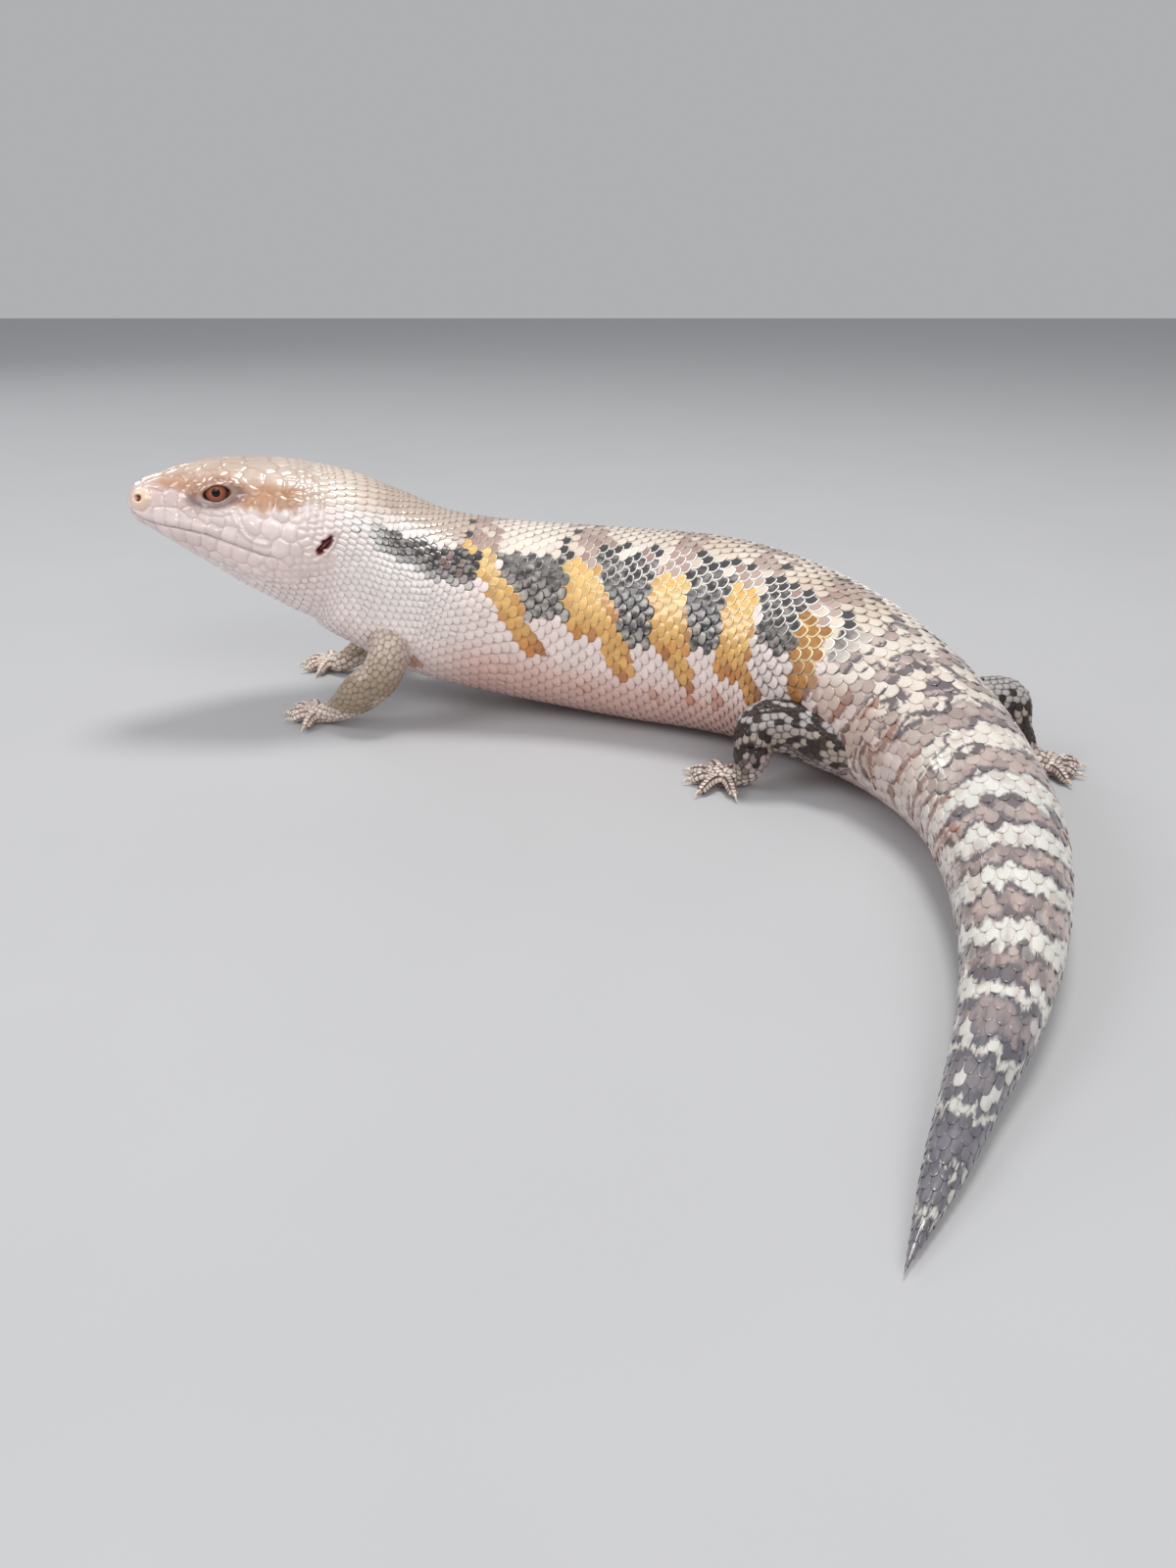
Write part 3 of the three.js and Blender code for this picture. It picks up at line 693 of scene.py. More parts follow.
def ear_reach(points, margin=0.0):
    """How many openings of the ear points lie out from its middle, its front edge being ragged.
    margin is the width of a border reckoned in with the opening."""
    back, right, up = head_place(points).T
    db = back - EAR["back"]
    du = up - EAR["up"]
    long = db * math.sin(EAR["slant"]) + du * math.cos(EAR["slant"])
    short = db * math.cos(EAR["slant"]) - du * math.sin(EAR["slant"])
    ragged = 0.24 * np.sin(long * 2.3 + 0.6) + 0.12 * np.sin(long * 4.1)
    short = short + ragged * (short < 0)
    reach = np.hypot(long / (EAR["long"] + margin), short / (EAR["short"] + margin))
    return np.where(np.abs(right) > 8, reach, FAR)


def nostril_distance(points):
    """The distance of points from the nearer nostril."""
    away = np.full(len(points), np.inf)
    for side in (-1, 1):
        nostril = surface_near("flank", NOSTRIL["back"], NOSTRIL["up"], side)
        away = np.minimum(away, np.linalg.norm(points - nostril, axis=1))
    return away


# The head's colours
HEAD_TAN = srgb(196, 173, 156)
HEAD_PALE = srgb(212, 196, 184)
HEAD_PATCH = srgb(182, 136, 101)
SNOUT = srgb(196, 168, 144)
LOREAL = srgb(214, 190, 184)
LABIAL = srgb(230, 212, 207)
CHEEK = srgb(234, 218, 214)
JAW = srgb(232, 211, 206)
THROAT = srgb(248, 232, 226)
NASAL = srgb(236, 206, 182)
NOSTRIL_RED = srgb(140, 66, 46)
EAR_RED = srgb(112, 26, 26)
LID_SHADE = srgb(122, 98, 103)
LID_RIM = srgb(196, 172, 154)
MOUTH_SHADE = srgb(170, 134, 126)
# Lower and upper edge of the brown patch and lower edge of the crown, up by the distance back
PATCH_BACK = (6, 10, 16, 22, 26, 29.5, 36, 42, 48.5)
PATCH_LOW = (6, 7.5, 6.2, 7.5, 7.8, 7.7, 8.1, 9.1, 13)
PATCH_HIGH = (7, 9.8, 11, 13.8, 14.2, 13.6, 15.4, 16.1, 15)
CROWN_BACK = (0, 6, 12, 22, 30, 45, 55)
CROWN_UP = (3.5, 6.6, 8.6, 12, 12.5, 11.5, 10)
# How much the seams between shields darken red, green and blue, partly painted shade in the grooves
SEAM_TINT_AND_SHADE = (0.10, 0.15, 0.17)
# Heights and depths of the head's relief
SHIELD_HEIGHT = 0.36
SEAM_DEPTH = 0.15
LIP_FULLNESS = 0.4
MOUTH_DEPTH = 0.55
FOLD_HEIGHT = 0.5
NOSTRIL_DEPTH = 1.5
EAR_DEPTH = 3.2


class HeadPoints:
    """Points of the head's outline, with where each lies among shields, lids, lips and openings."""

    def __init__(self, points, places):
        s, q = places.T
        self.back, self.right, self.up = head_place(points).T
        self.normal = BODY.normal(s, q)
        sideways = np.abs(self.normal @ HEAD_RIGHT)
        self.flank = smooth(0.2, 0.6, sideways)
        self.from_scales = s - scale_start(q)
        self.seam, self.number = shield_pattern(points)
        self.from_mouth = self.up - np.interp(self.back, MOUTH_BACK, MOUTH_UP)
        self.lips = 1 - smooth(39, 44.5, self.back)
        self.from_eye = opening_place(self.back, self.up)
        self.opening = np.where((sideways > 0.35) & (self.up > 0), self.from_eye, FAR)
        self.above_lids = self.up - EYE["up"] - math.tan(LID_TILT) * (self.back - EYE["back"])
        self.nostril = nostril_distance(points)
        self.ear = ear_reach(points)

    def relief(self):
        """How far the skin lies above the outline."""
        back, up, seam = self.back, self.up, self.seam
        lift = np.zeros(len(back))
        for b, u, reach, height in HEAD_SWELLINGS:
            lift += self.flank * height * np.exp(-((back - b) ** 2 + (up - u) ** 2) / reach**2)
        on_head = 1 - smooth(-2.2, 2.2, self.from_scales)
        fading = smooth(-8, -1, self.from_scales)
        shields = (SHIELD_HEIGHT - 0.10 * fading) * (1 - np.exp(-seam / 0.7))
        shields = shields - SEAM_DEPTH * ridge(seam, 0, 0.18)
        shields *= 1 - 0.45 * smooth(3.2, 2.1, self.from_eye) * (up > 0)
        lift += on_head * (shields - 0.1 - 0.13 * fading) - BODY_COAT * (1 - on_head)
        wrinkles = noise(np.stack([back / 2.4, self.right / 1.2, up / 1.2], 1), 1.0, 15) - 0.5
        lift += on_head * wrinkles * (0.08 + 0.14 * smooth(3, 8, up))
        lift += self.lips * LIP_FULLNESS * ridge(self.from_mouth, 1.7, 1.4) * smooth(2, 8, back)
        groove = MOUTH_DEPTH * ridge(self.from_mouth, 0, 0.26) + 0.25 * ridge(self.from_mouth, 0, 1.0)
        lift -= self.lips * groove
        fold = segment_distance(back, up, CHEEK_FOLD)
        lift += self.flank * (FOLD_HEIGHT * ridge(fold, 0, 0.55) - 0.25 * ridge(fold, 1.1, 0.45))
        lift += 0.25 * ridge(self.nostril, 1.5, 0.6) + 0.35 * (1 - smooth(2.4, 3.8, self.nostril))
        lift -= NOSTRIL_DEPTH * (1 - smooth(0.35, 1.0, self.nostril))
        lift += 0.3 * ridge(self.ear, 1.5, 0.3)
        lift -= EAR_DEPTH * (1 - smooth(0.5, 1.15, self.ear))
        return lift

    def lid_shift(self, moved):
        """How far points that have their relief move sideways to form the lids and the gap in which
        the eyeball lies."""
        opening = self.opening
        reach = np.hypot(self.back - EYE["back"], self.up - EYE["up"])
        ball = EYE["side"] + np.sqrt(EYE["radius"] ** 2 - np.minimum(reach, 3.1) ** 2)
        outline = np.abs(head_place(moved)[:, 1])
        rim = ball + 0.35 + 0.35 * smooth(0.0, 2.2, self.above_lids) + 0.15 * ridge(opening, 1.2, 0.12)
        rim += 0.09 * (1 - np.exp(-self.seam / 0.4)) * smooth(1.05, 1.3, opening)
        rim -= 0.2 * ridge(opening, 1.42, 0.08)
        lid = rim + (outline - rim) * smooth(1.3, 2.1, opening)
        behind = np.where(reach < 3.6, ball - 1.3, ball - 0.55)
        sunk = lid + (behind - lid) * (1 - smooth(0.9, 1.03, opening))
        return np.where(opening < 2.1, sunk - outline, 0)

    def colours(self):
        """The skin's colours: the ground, the patch of the crown, seams darkened partly as painted shade,
        then the details.
        """
        spot = np.stack([self.back, np.abs(self.right), self.up], 1)
        mottle = noise(spot, 3.2, 3)
        fine = noise(spot, 0.9, 4)
        each = hashed(self.number[:, None], 5)
        from_mouth = self.from_mouth * self.lips + FAR * (1 - self.lips)
        crown = smooth(0, 4, self.up - np.interp(self.back, CROWN_BACK, CROWN_UP))
        colour = self.ground(from_mouth, crown, mottle)
        patch = self.patch(spot, each, mottle)
        colour = mix(colour, HEAD_PATCH, patch * (0.84 + 0.16 * smooth(0.2, 0.7, fine)))
        colour = mix(colour, HEAD_PALE, 0.25 * smooth(0.55, 0.9, mottle) * crown)
        colour *= (0.93 + 0.12 * each)[:, None]
        colour *= (0.96 + 0.08 * fine)[:, None]
        # Darker seams, partly their own tone and partly painted shade in the grooves, most on the crown
        colour *= 1 - (ridge(self.seam, 0, 0.2) * (1 + 0.9 * crown))[:, None] * SEAM_TINT_AND_SHADE
        return self.details(colour, from_mouth)

    def ground(self, from_mouth, crown, mottle):
        """Cheek, lips, jaw and throat, and the tan crown."""
        back, up = self.back, self.up
        colour = mix(CHEEK, LABIAL, smooth(4, 2, up) * (from_mouth > 0))
        colour = mix(colour, LOREAL, smooth(24, 14, back) * smooth(1.0, 3.0, up))
        colour = mix(colour, JAW, smooth(0, -2, from_mouth) * (up < 0))
        colour = mix(colour, JAW, smooth(-3, -8, up))
        colour = mix(colour, THROAT, smooth(-6, -14, up))
        crown_colour = mix(SNOUT, HEAD_TAN, smooth(8, 16, back))
        crown_colour = mix(crown_colour, HEAD_PALE, smooth(24, 44, back) * (0.4 + 0.6 * mottle))
        return mix(colour, crown_colour, crown)

    def patch(self, spot, each, mottle):
        """How much of the brown patch above the eye and cheek lies on each point."""
        back, up = self.back, self.up
        low = np.interp(back, PATCH_BACK, PATCH_LOW)
        high = np.interp(back, PATCH_BACK, PATCH_HIGH)
        drips = noise(spot * (1, 0.3, 0.3), 2.2, 6)
        ragged = 2.4 * (drips - 0.5) + 1.6 * (each - 0.5) * smooth(24, 30, back)
        patch = smooth(-1.3, 1.3, up - low + ragged) * smooth(-2.4, 1.2, high - up + 2 * (mottle - 0.5))
        patch *= smooth(3, 8, back) * smooth(50, 42, back)
        return patch

    def details(self, colour, from_mouth):
        """Colours of nostrils, ears, lids and the line of the mouth laid over the others."""
        opening = self.opening
        colour = mix(colour, NASAL, 1 - smooth(3.2, 3.7, self.nostril))
        colour = mix(colour, NOSTRIL_RED, 1 - smooth(0.75, 1.15, self.nostril))
        colour = mix(colour, EAR_RED, 1 - smooth(0.8, 1.15, self.ear))
        below = smooth(1.5, -1.5, self.above_lids)
        colour = mix(colour, LID_SHADE, ridge(opening, 1.62, 0.34) * (0.3 + 0.5 * below))
        colour = mix(colour, LID_RIM, (0.35 + 0.4 * below) * ridge(opening, 1.3, 0.12))
        # Near black inside the lids' opening: painted shade in the gap round the eyeball
        colour = mix(colour, LID_SHADE * 0.2, 1 - smooth(1.0, 1.2 - 0.08 * below, opening))
        return mix(colour, MOUTH_SHADE, 0.45 * ridge(from_mouth, 0, 0.3))


def head_form(points, places):
    """The head's skin: points of the outline moved to its shields, lids, lips, ears and nostrils.
    Returns the points and their colours."""
    at = HeadPoints(points, places)
    moved = points + at.normal * at.relief()[:, None]
    moved = moved + (at.lid_shift(moved) * np.sign(at.right))[:, None] * HEAD_RIGHT
    return moved, at.colours()


# Markings of neck, trunk and tail. A place is s along the body and degrees round from the midline
# of the back. A blotch is given by its front and back edge at its top and at its foot
BLOTCHES = [
    {"kind": "grey", "top": (38, 110, 136), "foot": (76, 123, 143)},
    {"kind": "grey", "top": (32, 146, 171), "foot": (82, 163, 179)},
    {"kind": "grey", "top": (32, 182, 199), "foot": (79, 189, 204)},
    {"kind": "grey", "top": (28, 206, 227), "foot": (66, 218, 236)},
    {"kind": "grey", "top": (26, 238, 250), "foot": (56, 246, 257)},
    {"kind": "pale", "top": (64, 214, 237), "foot": (94, 222, 243)},
    {"kind": "pale", "top": (52, 243, 257), "foot": (100, 250, 264)},
    {"kind": "yellow", "top": (36, 98, 107), "foot": (100, 126, 134)},
    {"kind": "yellow", "top": (40, 135, 148), "foot": (84, 142, 163)},
    {"kind": "yellow", "top": (80, 152, 164), "foot": (103, 162, 170)},
    {"kind": "yellow", "top": (40, 171, 184), "foot": (88, 175, 191)},
    {"kind": "yellow", "top": (84, 181, 191), "foot": (104, 186, 194)},
    {"kind": "yellow", "top": (36, 196, 208), "foot": (92, 203, 223)},
    {"kind": "yellow", "top": (88, 212, 224), "foot": (104, 220, 229)},
    {"kind": "yellow", "top": (34, 227, 238), "foot": (96, 241, 252)},
]
# The dark streak on the side of the neck: degrees round of its top and foot by the way along
STREAK = (61, 106)
STREAK_S = (60, 71, 82, 94, 106, 114)
STREAK_TOP = (57, 52, 47, 42, 40, 40)
STREAK_FOOT = (70, 69, 67, 67, 66, 60)
# Middles of the bars across the back, of the tail's bands with their half-widths, and of the thin
# rust bars beside the vent
BACK_BARS = (106, 142, 178, 203, 230)
BAR_HALF_WIDTH = 5.2
BAR_MARGIN = 1.8
TAIL_BANDS = [
    (249, 3.0), (262, 4.4), (274, 2.6), (286, 4.8), (305.5, 5.4), (325, 4.6), (340.5, 4.0), (355, 4.8),
    (371.5, 5.0), (387, 6.2), (401.5, 6.0), (415, 5.6), (425.5, 4.4), (438, 6.0),
]
BROKEN_BANDS_END = 280
RUST_BARS = (256, 267, 277, 289, 301, 312, 324)
RUST_BAR_HALF_WIDTH = 1.0
# Tints of the edges of scales against their middles
WARM_EDGE = np.array([0.86, 0.79, 0.77])
RUMP_EDGE = np.array([0.93, 0.89, 0.87])
TAIL_EDGE = np.array([0.86, 0.82, 0.80])
RUST_SPOTS = [
    (93, 134), (150, 116), (167, 108), (175, 117), (192, 112), (204, 107), (220, 112),
]
RUST_SPOT_RADIUS = 3.0
# How far ragged edges stray along the body and in degrees round it, and how far the markings of the
# right side are shifted
STRAY = 3.0
STRAY_ROUND = 9
RIGHT_SHIFT = 4.0


class Markings:
    """Colours of the middle and the edge of scales at s, q. luck is a value from 0 to 1 for each
    scale, and fine one for each point, in streaks along the scale. A number between two places
    is how far a colour has changed on the way from one to the other."""

    def __init__(self, s, q, luck, fine):
        s = np.asarray(s, float)
        self.q = q
        self.luck = luck
        self.luck2 = (luck * 7.13) % 1
        self.fine = fine
        self.degrees = np.abs(q) * 360
        self.place = np.stack([s, q * MARK_GIRTH], 1)
        self.rag = (noise(self.place, 4.5, 21) - 0.5) * STRAY
        self.rag_round = (noise(self.place, 5.0, 22) - 0.5) * STRAY_ROUND
        shift = np.where(q > 0, RIGHT_SHIFT, 0.0)
        self.s = s + shift * smooth(100, 130, s) * smooth(250, 220, s)
        self.ground()
        self.back_bars()
        self.pale_net_and_glints()
        for blotch in BLOTCHES:
            self.blotch(blotch)
        self.neck_streak()
        self.rust_spots()
        self.rump()
        self.broken_lines()
        self.tail_bands()
        self.rust_bars()
        self.middle = mix(self.middle, SLATE * 0.8, smooth(434, 438, self.s))

    def paint(self, on, middle, edge=None):
        """Gives the scales that are on new colours."""
        self.middle[on] = np.broadcast_to(middle, self.middle.shape)[on]
        if edge is not None:
            self.edge[on] = np.broadcast_to(edge, self.edge.shape)[on]

    def ground(self):
        """The plain ground: pinkish belly, whitish flanks and cream back, tan on the nape."""
        s, degrees = self.s, self.degrees
        # Towards the front the ground turns to the pale throat colour with its painted bounce light
        middle = mix(BELLY, THROAT_PALE_AND_BOUNCE_LIGHT, smooth(116, 84, s))
        middle = mix(middle, FLANK, smooth(118, 92, degrees))
        middle = mix(middle, COOL_WHITE, smooth(140, 80, degrees) * smooth(114, 86, s) * 0.7)
        clouds = smooth(0.35, 0.8, noise(self.place, 14, 23))
        back = mix(CREAM, TAN, 0.35 * smooth(110, 150, s) + 0.5 * clouds + 0.25 * (self.luck - 0.5))
        back = mix(back, TAN, 0.5 * smooth(95, 60, s))
        back = mix(back, NAPE, 0.75 * smooth(46, 34, degrees) * smooth(118, 98, s) * smooth(58, 70, s))
        back = mix(back, HEAD_PALE, smooth(62, 50, s))
        middle = mix(middle, CHEEK, smooth(66, 52, s) * smooth(150, 120, degrees))
        front = 1 - smooth(100, 118, s)
        low = np.interp(s, (54, 74), (62, 47))
        upper = smooth(52, 40, degrees) * (1 - front) + smooth(0, -16, degrees - low) * front
        self.middle = mix(middle, back, upper)
        self.edge = self.middle * WARM_EDGE
        outlined = 0.8 * upper * smooth(30, 16, degrees) * smooth(60, 130, s)
        self.edge = mix(self.edge, self.middle * 0.45, outlined)

    def back_bars(self):
        """Bars across the back, some scales of their margins dark."""
        for bar in BACK_BARS:
            away = np.abs(self.s + self.rag - bar)
            on = (away < BAR_HALF_WIDTH) & (self.degrees < 43) & (self.luck > 0.14)
            self.paint(on, mix(PINK_BROWN, CREAM, 0.3 * self.luck2))
            margin = (np.abs(away - BAR_HALF_WIDTH) < BAR_MARGIN) & (self.degrees < 42) & (self.degrees > 8)
            self.paint(margin & (self.luck2 > 0.72), DARK * 1.6)

    def pale_net_and_glints(self):
        """Pale frames round the scales beside the back, their white partly painted glints on the edges."""
        net_and_glint = smooth(14, 24, self.degrees) * smooth(70, 54, self.degrees) * smooth(262, 246, self.s)
        net_and_glint *= 0.35 + 0.65 * smooth(130, 165, self.s)
        net_and_glint *= smooth(104, 124, self.s)
        self.net_and_glint = net_and_glint
        self.edge = mix(self.edge, PALE_NET_AND_GLINT, net_and_glint)

    def blotch(self, blotch):
        """One blotch of the flanks, with ragged edges."""
        top, top_front, top_rear = blotch["top"]
        foot, foot_front, foot_rear = blotch["foot"]
        t = (self.degrees + self.rag_round * 0.5 - top) / (foot - top)
        front = top_front + (foot_front - top_front) * t + self.rag * 0.7
        rear = top_rear + (foot_rear - top_rear) * t + self.rag * 0.7
        on = (t >= 0) & (t <= 1) & (self.s >= front) & (self.s <= rear)
        if blotch["kind"] == "yellow":
            middle, edge = self.yellow(t, self.s - front, rear - self.s)
        elif blotch["kind"] == "grey":
            middle, edge = self.grey()
            near = (self.s >= top_front - 1) & (self.s <= top_rear + 1) & (self.s > 133)
            self.dark_centres(near & (self.degrees > 20) & (t < 0))
        else:
            middle = mix(FLANK, GREY, 0.5 * (self.luck2 > 0.5) * (1 - self.fine))
            edge = mix(DARK * 2.6, FLANK, 0.35)
        self.paint(on, middle, edge)

    def yellow(self, t, behind_front, before_rear):
        """Yellow with orange low down and along the edges, the last blotch darker."""
        s, degrees = self.s, self.degrees
        low = smooth(0.72, 1.0, t) * smooth(70, 84, degrees)
        border = np.maximum(0.45 * smooth(3.4, 1.2, behind_front), smooth(2.4, 0.6, before_rear))
        middle = mix(YELLOW, YELLOW_PALE, 0.6 * smooth(0.45, 0.9, self.luck) * smooth(72, 50, degrees))
        middle = mix(middle, ORANGE, np.maximum(low, border * smooth(46, 66, degrees) * 0.6) * 0.85)
        middle = mix(middle, ORANGE, 0.25 * smooth(60, 90, degrees) + 0.6 * smooth(212, 228, s))
        middle = mix(middle, RUST, 0.6 * np.maximum(low, border * 0.7) * (self.luck2 > 0.55))
        middle *= (0.84 + 0.26 * self.fine - 0.36 * smooth(214, 228, s))[:, None]
        # Pale edges where the net runs over the yellow, partly painted glints
        pale = smooth(80, 56, degrees) * (0.45 + 0.55 * self.net_and_glint)
        return middle, mix(middle * 0.88, YELLOW_NET_AND_GLINT, pale)

    def grey(self):
        """Grey, mottled within each scale, with black scales above."""
        degrees, luck2 = self.degrees, self.luck2
        paler = 0.45 - 0.27 * smooth(136, 150, self.s) + 0.34 * smooth(44, 70, degrees)
        paler = paler + 0.35 * (luck2 - 0.4)
        middle = mix(DARK * 1.4, GREY, np.clip(paler + 1.7 * (self.fine - 0.5), 0, 1))
        middle = mix(middle, DARK * 1.4, 0.5 * smooth(64, 50, degrees) * (luck2 > 0.35))
        # Dark edges, turning higher up into the white net of pale edges and painted glints
        return middle, mix(DARK * 0.9, PALE_NET_AND_GLINT, self.net_and_glint * smooth(58, 42, degrees))

    def dark_centres(self, above):
        """Black-centred and brown-centred scales above a grey blotch."""
        self.paint(above & (self.luck > 0.42), DARK * 1.5)
        self.paint(above & (self.luck > 0.28) & (self.luck <= 0.42), PINK_BROWN)

    def neck_streak(self):
        """The dark streak on the side of the neck: small dashes, then whole scales."""
        s, degrees = self.s, self.degrees
        top = np.interp(s, STREAK_S, STREAK_TOP)
        foot = np.interp(s, STREAK_S, STREAK_FOOT)
        on = (degrees + self.rag_round * 0.3 > top) & (degrees + self.rag_round * 0.4 < foot)
        on &= (s > STREAK[0]) & (s < STREAK[1])
        on &= self.luck > np.interp(s, (61, 65, 72), (0.3, 0.1, 0.0))
        whole = smooth(62, 74, s) * (0.5 + 0.5 * smooth(foot, foot - 8, degrees))
        middle = mix(DARK * 1.2, GREY, 0.6 * smooth(0.45, 0.75, self.fine))
        middle = mix(middle, PINK_BROWN, 0.5 * (self.luck2 > 0.5) * smooth(82, 96, s))
        middle = mix(COOL_WHITE * 0.9, middle, whole)
        edge = mix(DARK * 1.2, COOL_WHITE * 0.75, (1 - whole) * smooth(0.5, 0.4, self.fine))
        self.paint(on, middle, edge)

    def rust_spots(self):
        """A few rust spots low on the flank."""
        for s, degrees in RUST_SPOTS:
            away = np.hypot(self.s - s, (self.degrees - degrees) * 0.5)
            on = (away < RUST_SPOT_RADIUS) & (self.luck > 0.35)
            middle = mix(RUST * 1.3, BELLY, 0.3 + 0.5 * self.luck2)
            self.paint(on, middle, mix(RUST * 1.1, BELLY, 0.3 * self.luck2))

    def rump(self):
        """The large pale scales of rump and tail."""
        s, degrees = self.s, self.degrees
        pale = mix(PALE_RUMP, WHITE, 0.4 * self.luck2)
        pale = mix(pale, GREEN_CREAM, smooth(275, 320, s) * 0.9)
        pale = mix(pale, FLANK, smooth(50, 80, degrees) * smooth(345, 320, s) * 0.5)
        pale = mix(pale, BELLY, smooth(115, 150, degrees) * 0.8)
        clouds = smooth(0.6, 0.85, noise(self.place, 3.6, 43))
        pale = mix(pale, BAND_BROWN, 0.45 * clouds * smooth(100, 70, degrees))
        pale *= (1 - 0.06 * smooth(300, 340, s) - 0.22 * smooth(370, 410, s))[:, None]
        beside = 0.65 * smooth(52, 66, degrees) * smooth(305, 280, s) * smooth(112, 95, degrees)
        self.pale = mix(pale, RUMP_SIDE, beside)
        here = smooth(240, 250, s + self.rag)
        outline = smooth(300, 340, s)[:, None]
        shade = RUMP_EDGE * (1 - outline) + TAIL_EDGE * outline
        self.middle = mix(self.middle, self.pale, here)
        self.edge = mix(self.edge, self.pale * shade, here)

    def broken_lines(self):
        """Thin broken dark lines on the rump, along the ridges of a noise."""
        s, degrees = self.s, self.degrees
        away = np.abs(noise(np.stack([s, self.q * MARK_GIRTH / 2], 1), 4.6, 31) - 0.5)
        on = (away < 0.05) & (s > 238 + 0.26 * degrees) & (s < 312) & (degrees < 84) & (self.luck > 0.18)
        colour = mix(SLATE * 0.92, DARK * 1.8, 0.5 * self.luck2)
        self.paint(on, colour, colour * 0.9)

    def tail_bands(self):
        """Brown bands with a dark rim, open underneath, slate towards the tail's tip. The first ones
        are broken up."""
        s, degrees, luck2 = self.s, self.degrees, self.luck2
        late = smooth(362, 392, s)
        brown, slate = self.band_colours(late)
        shifted = s + self.rag * 1.6 + 4.0 * smooth(40, 100, degrees)
        rim = 1.5 + 2.2 * (noise(self.place, 6, 41) - 0.5) + 0.5 * smooth(290, 320, s) + 1.1 * late
        for band, half in TAIL_BANDS:
            away = np.abs(shifted - band)
            here = (away < half) & (smooth(122, 100, degrees) > 0.3)
            broken = band < BROKEN_BANDS_END
            present = luck2 < (0.75 if broken else 0.93)
            inner = here & (away < half - rim)
            outer = here & (away >= half - rim) & present
            self.paint(inner & present if broken else inner, brown, brown * 0.88)
            self.paint(outer, slate, slate * 0.8)

    def band_colours(self, late):
        """The brown of the tail's bands and the slate of their rims. late is how far they are on the
        way to the dark tip."""
        s, luck2 = self.s, self.luck2
        rusty = smooth(58, 78, self.degrees) * smooth(350, 325, s)
        brown = mix(BAND_BROWN, self.pale, 0.35 * luck2 * (1 - late))
        darker = smooth(0.42, 0.7, noise(self.place, 3.0, 42))
        brown = mix(brown, SLATE, (0.35 + 0.3 * smooth(320, 350, s)) * darker)
        brown = mix(brown, BLUE_SLATE, late * (0.55 + 0.35 * smooth(385, 410, s)))
        brown = mix(brown, GREEN_CREAM, (luck2 > 0.9) * 0.7 * late)
        brown = mix(brown, FLANK, 0.6 * rusty)
        slate = mix(SLATE, DARK * 1.8, 0.35 * self.luck)
        slate = mix(slate, self.pale, 0.3 * (luck2 > 0.75))
        slate = mix(slate, BLUE_SLATE * 0.75, late * 0.8)
        slate = mix(slate, RUST * 0.9, 0.5 * rusty)
        return brown, slate

    def rust_bars(self):
        """Thin rust bars beside the vent and under the tail's base."""
        s, degrees = self.s, self.degrees
        colour = mix(mix(RUST, SLATE, 0.1 + 0.5 * self.luck2), self.pale, 0.2)
        for bar in RUST_BARS:
            away = np.abs(s + self.rag * 1.2 + 2.0 * smooth(60, 110, degrees) - bar)
            on = (away < RUST_BAR_HALF_WIDTH) & (degrees > 50) & (degrees < 124) & (self.luck > 0.12)
            self.paint(on, colour, RUST * 0.8)


def marking(s, q, luck, fine):
    """The colours of the middles and edges of scales, as Markings gives them."""
    marks = Markings(s, q, luck, fine)
    return marks.middle, marks.edge


# How the scales sit: row spacing and number round the body, by the way along it
PITCH_S = (50, 90, 125, 215, 250, 300, 350, 390, 430, 441)
PITCH = (2.2, 2.3, 2.75, 2.75, 3.4, 3.8, 3.8, 3.3, 2.4, 2.0)
ROUND_S = (60, 125, 225, 250, 275, 300, 330, 360, 390, 415, 432)
ROUND_COUNT = (58, 42, 41.9, 36, 30, 26, 24, 20, 16, 12, 8)
SHOULDER = {"s": 94.0, "round": 100, "reach": 15, "crowd": 0.38}
FIRST_ROW = 19.2
LAST_ROW = 439.0
# How the half columns of scales take turns to end, over how far each narrows, and how narrow the last
# one gets
COLUMN_TURN = (0.618034, 0.31)
NARROWING = 18
NARROWING_BEFORE = 14
LEAST_WIDTH = 0.3

# A scale: how far its rear and front reach beyond its middle as parts of the row spacing, how much
# of the room across it fills, how deep it lies, its slope, dome, rolled edge and thickness, and how
# square it is
SCALE_REAR = 0.74
SCALE_FRONT = 1.3
SCALE_FILL = 0.985
SCALE_SINK = 0.27
SCALE_STEP = 0.29
SCALE_DOME = 0.25
SCALE_ROLL = 0.06
SCALE_THICK = 0.25
SCALE_SQUARENESS = 0.84
# How much the parts of a scale vary: its turn and length, and the depth it lies at
TURN_SPREAD = 0.12
LENGTH_SPREAD = 0.06
DEPTH_SPREAD = 0.05
# The girth below which the relief of the scales gets thinner with the body
FULL_GIRTH = 60
# Where the relief changes along the body: the dome, and the slope towards each scale's rear
DOME_S = (230, 270)
DOME_PARTS = (1, 0.5)
STEP_S = (230, 270, 330, 360, 400, 425)
STEP_PARTS = (1, 0.6, 0.6, 0.5, 0.6, 1)
# How far markings run on across a scale, from none to all of the way, by the place along the body
CARRY_S = (232, 262, 300, 340)
CARRY = (0.12, 0.75, 0.75, 0.95)
# The width of a scale's patch on the map that colours are baked to
PATCH = 0.0032
# Degrees down from the midline where the coat is parted into lengthwise pieces
BAND_EDGES = (34, 82, 132)


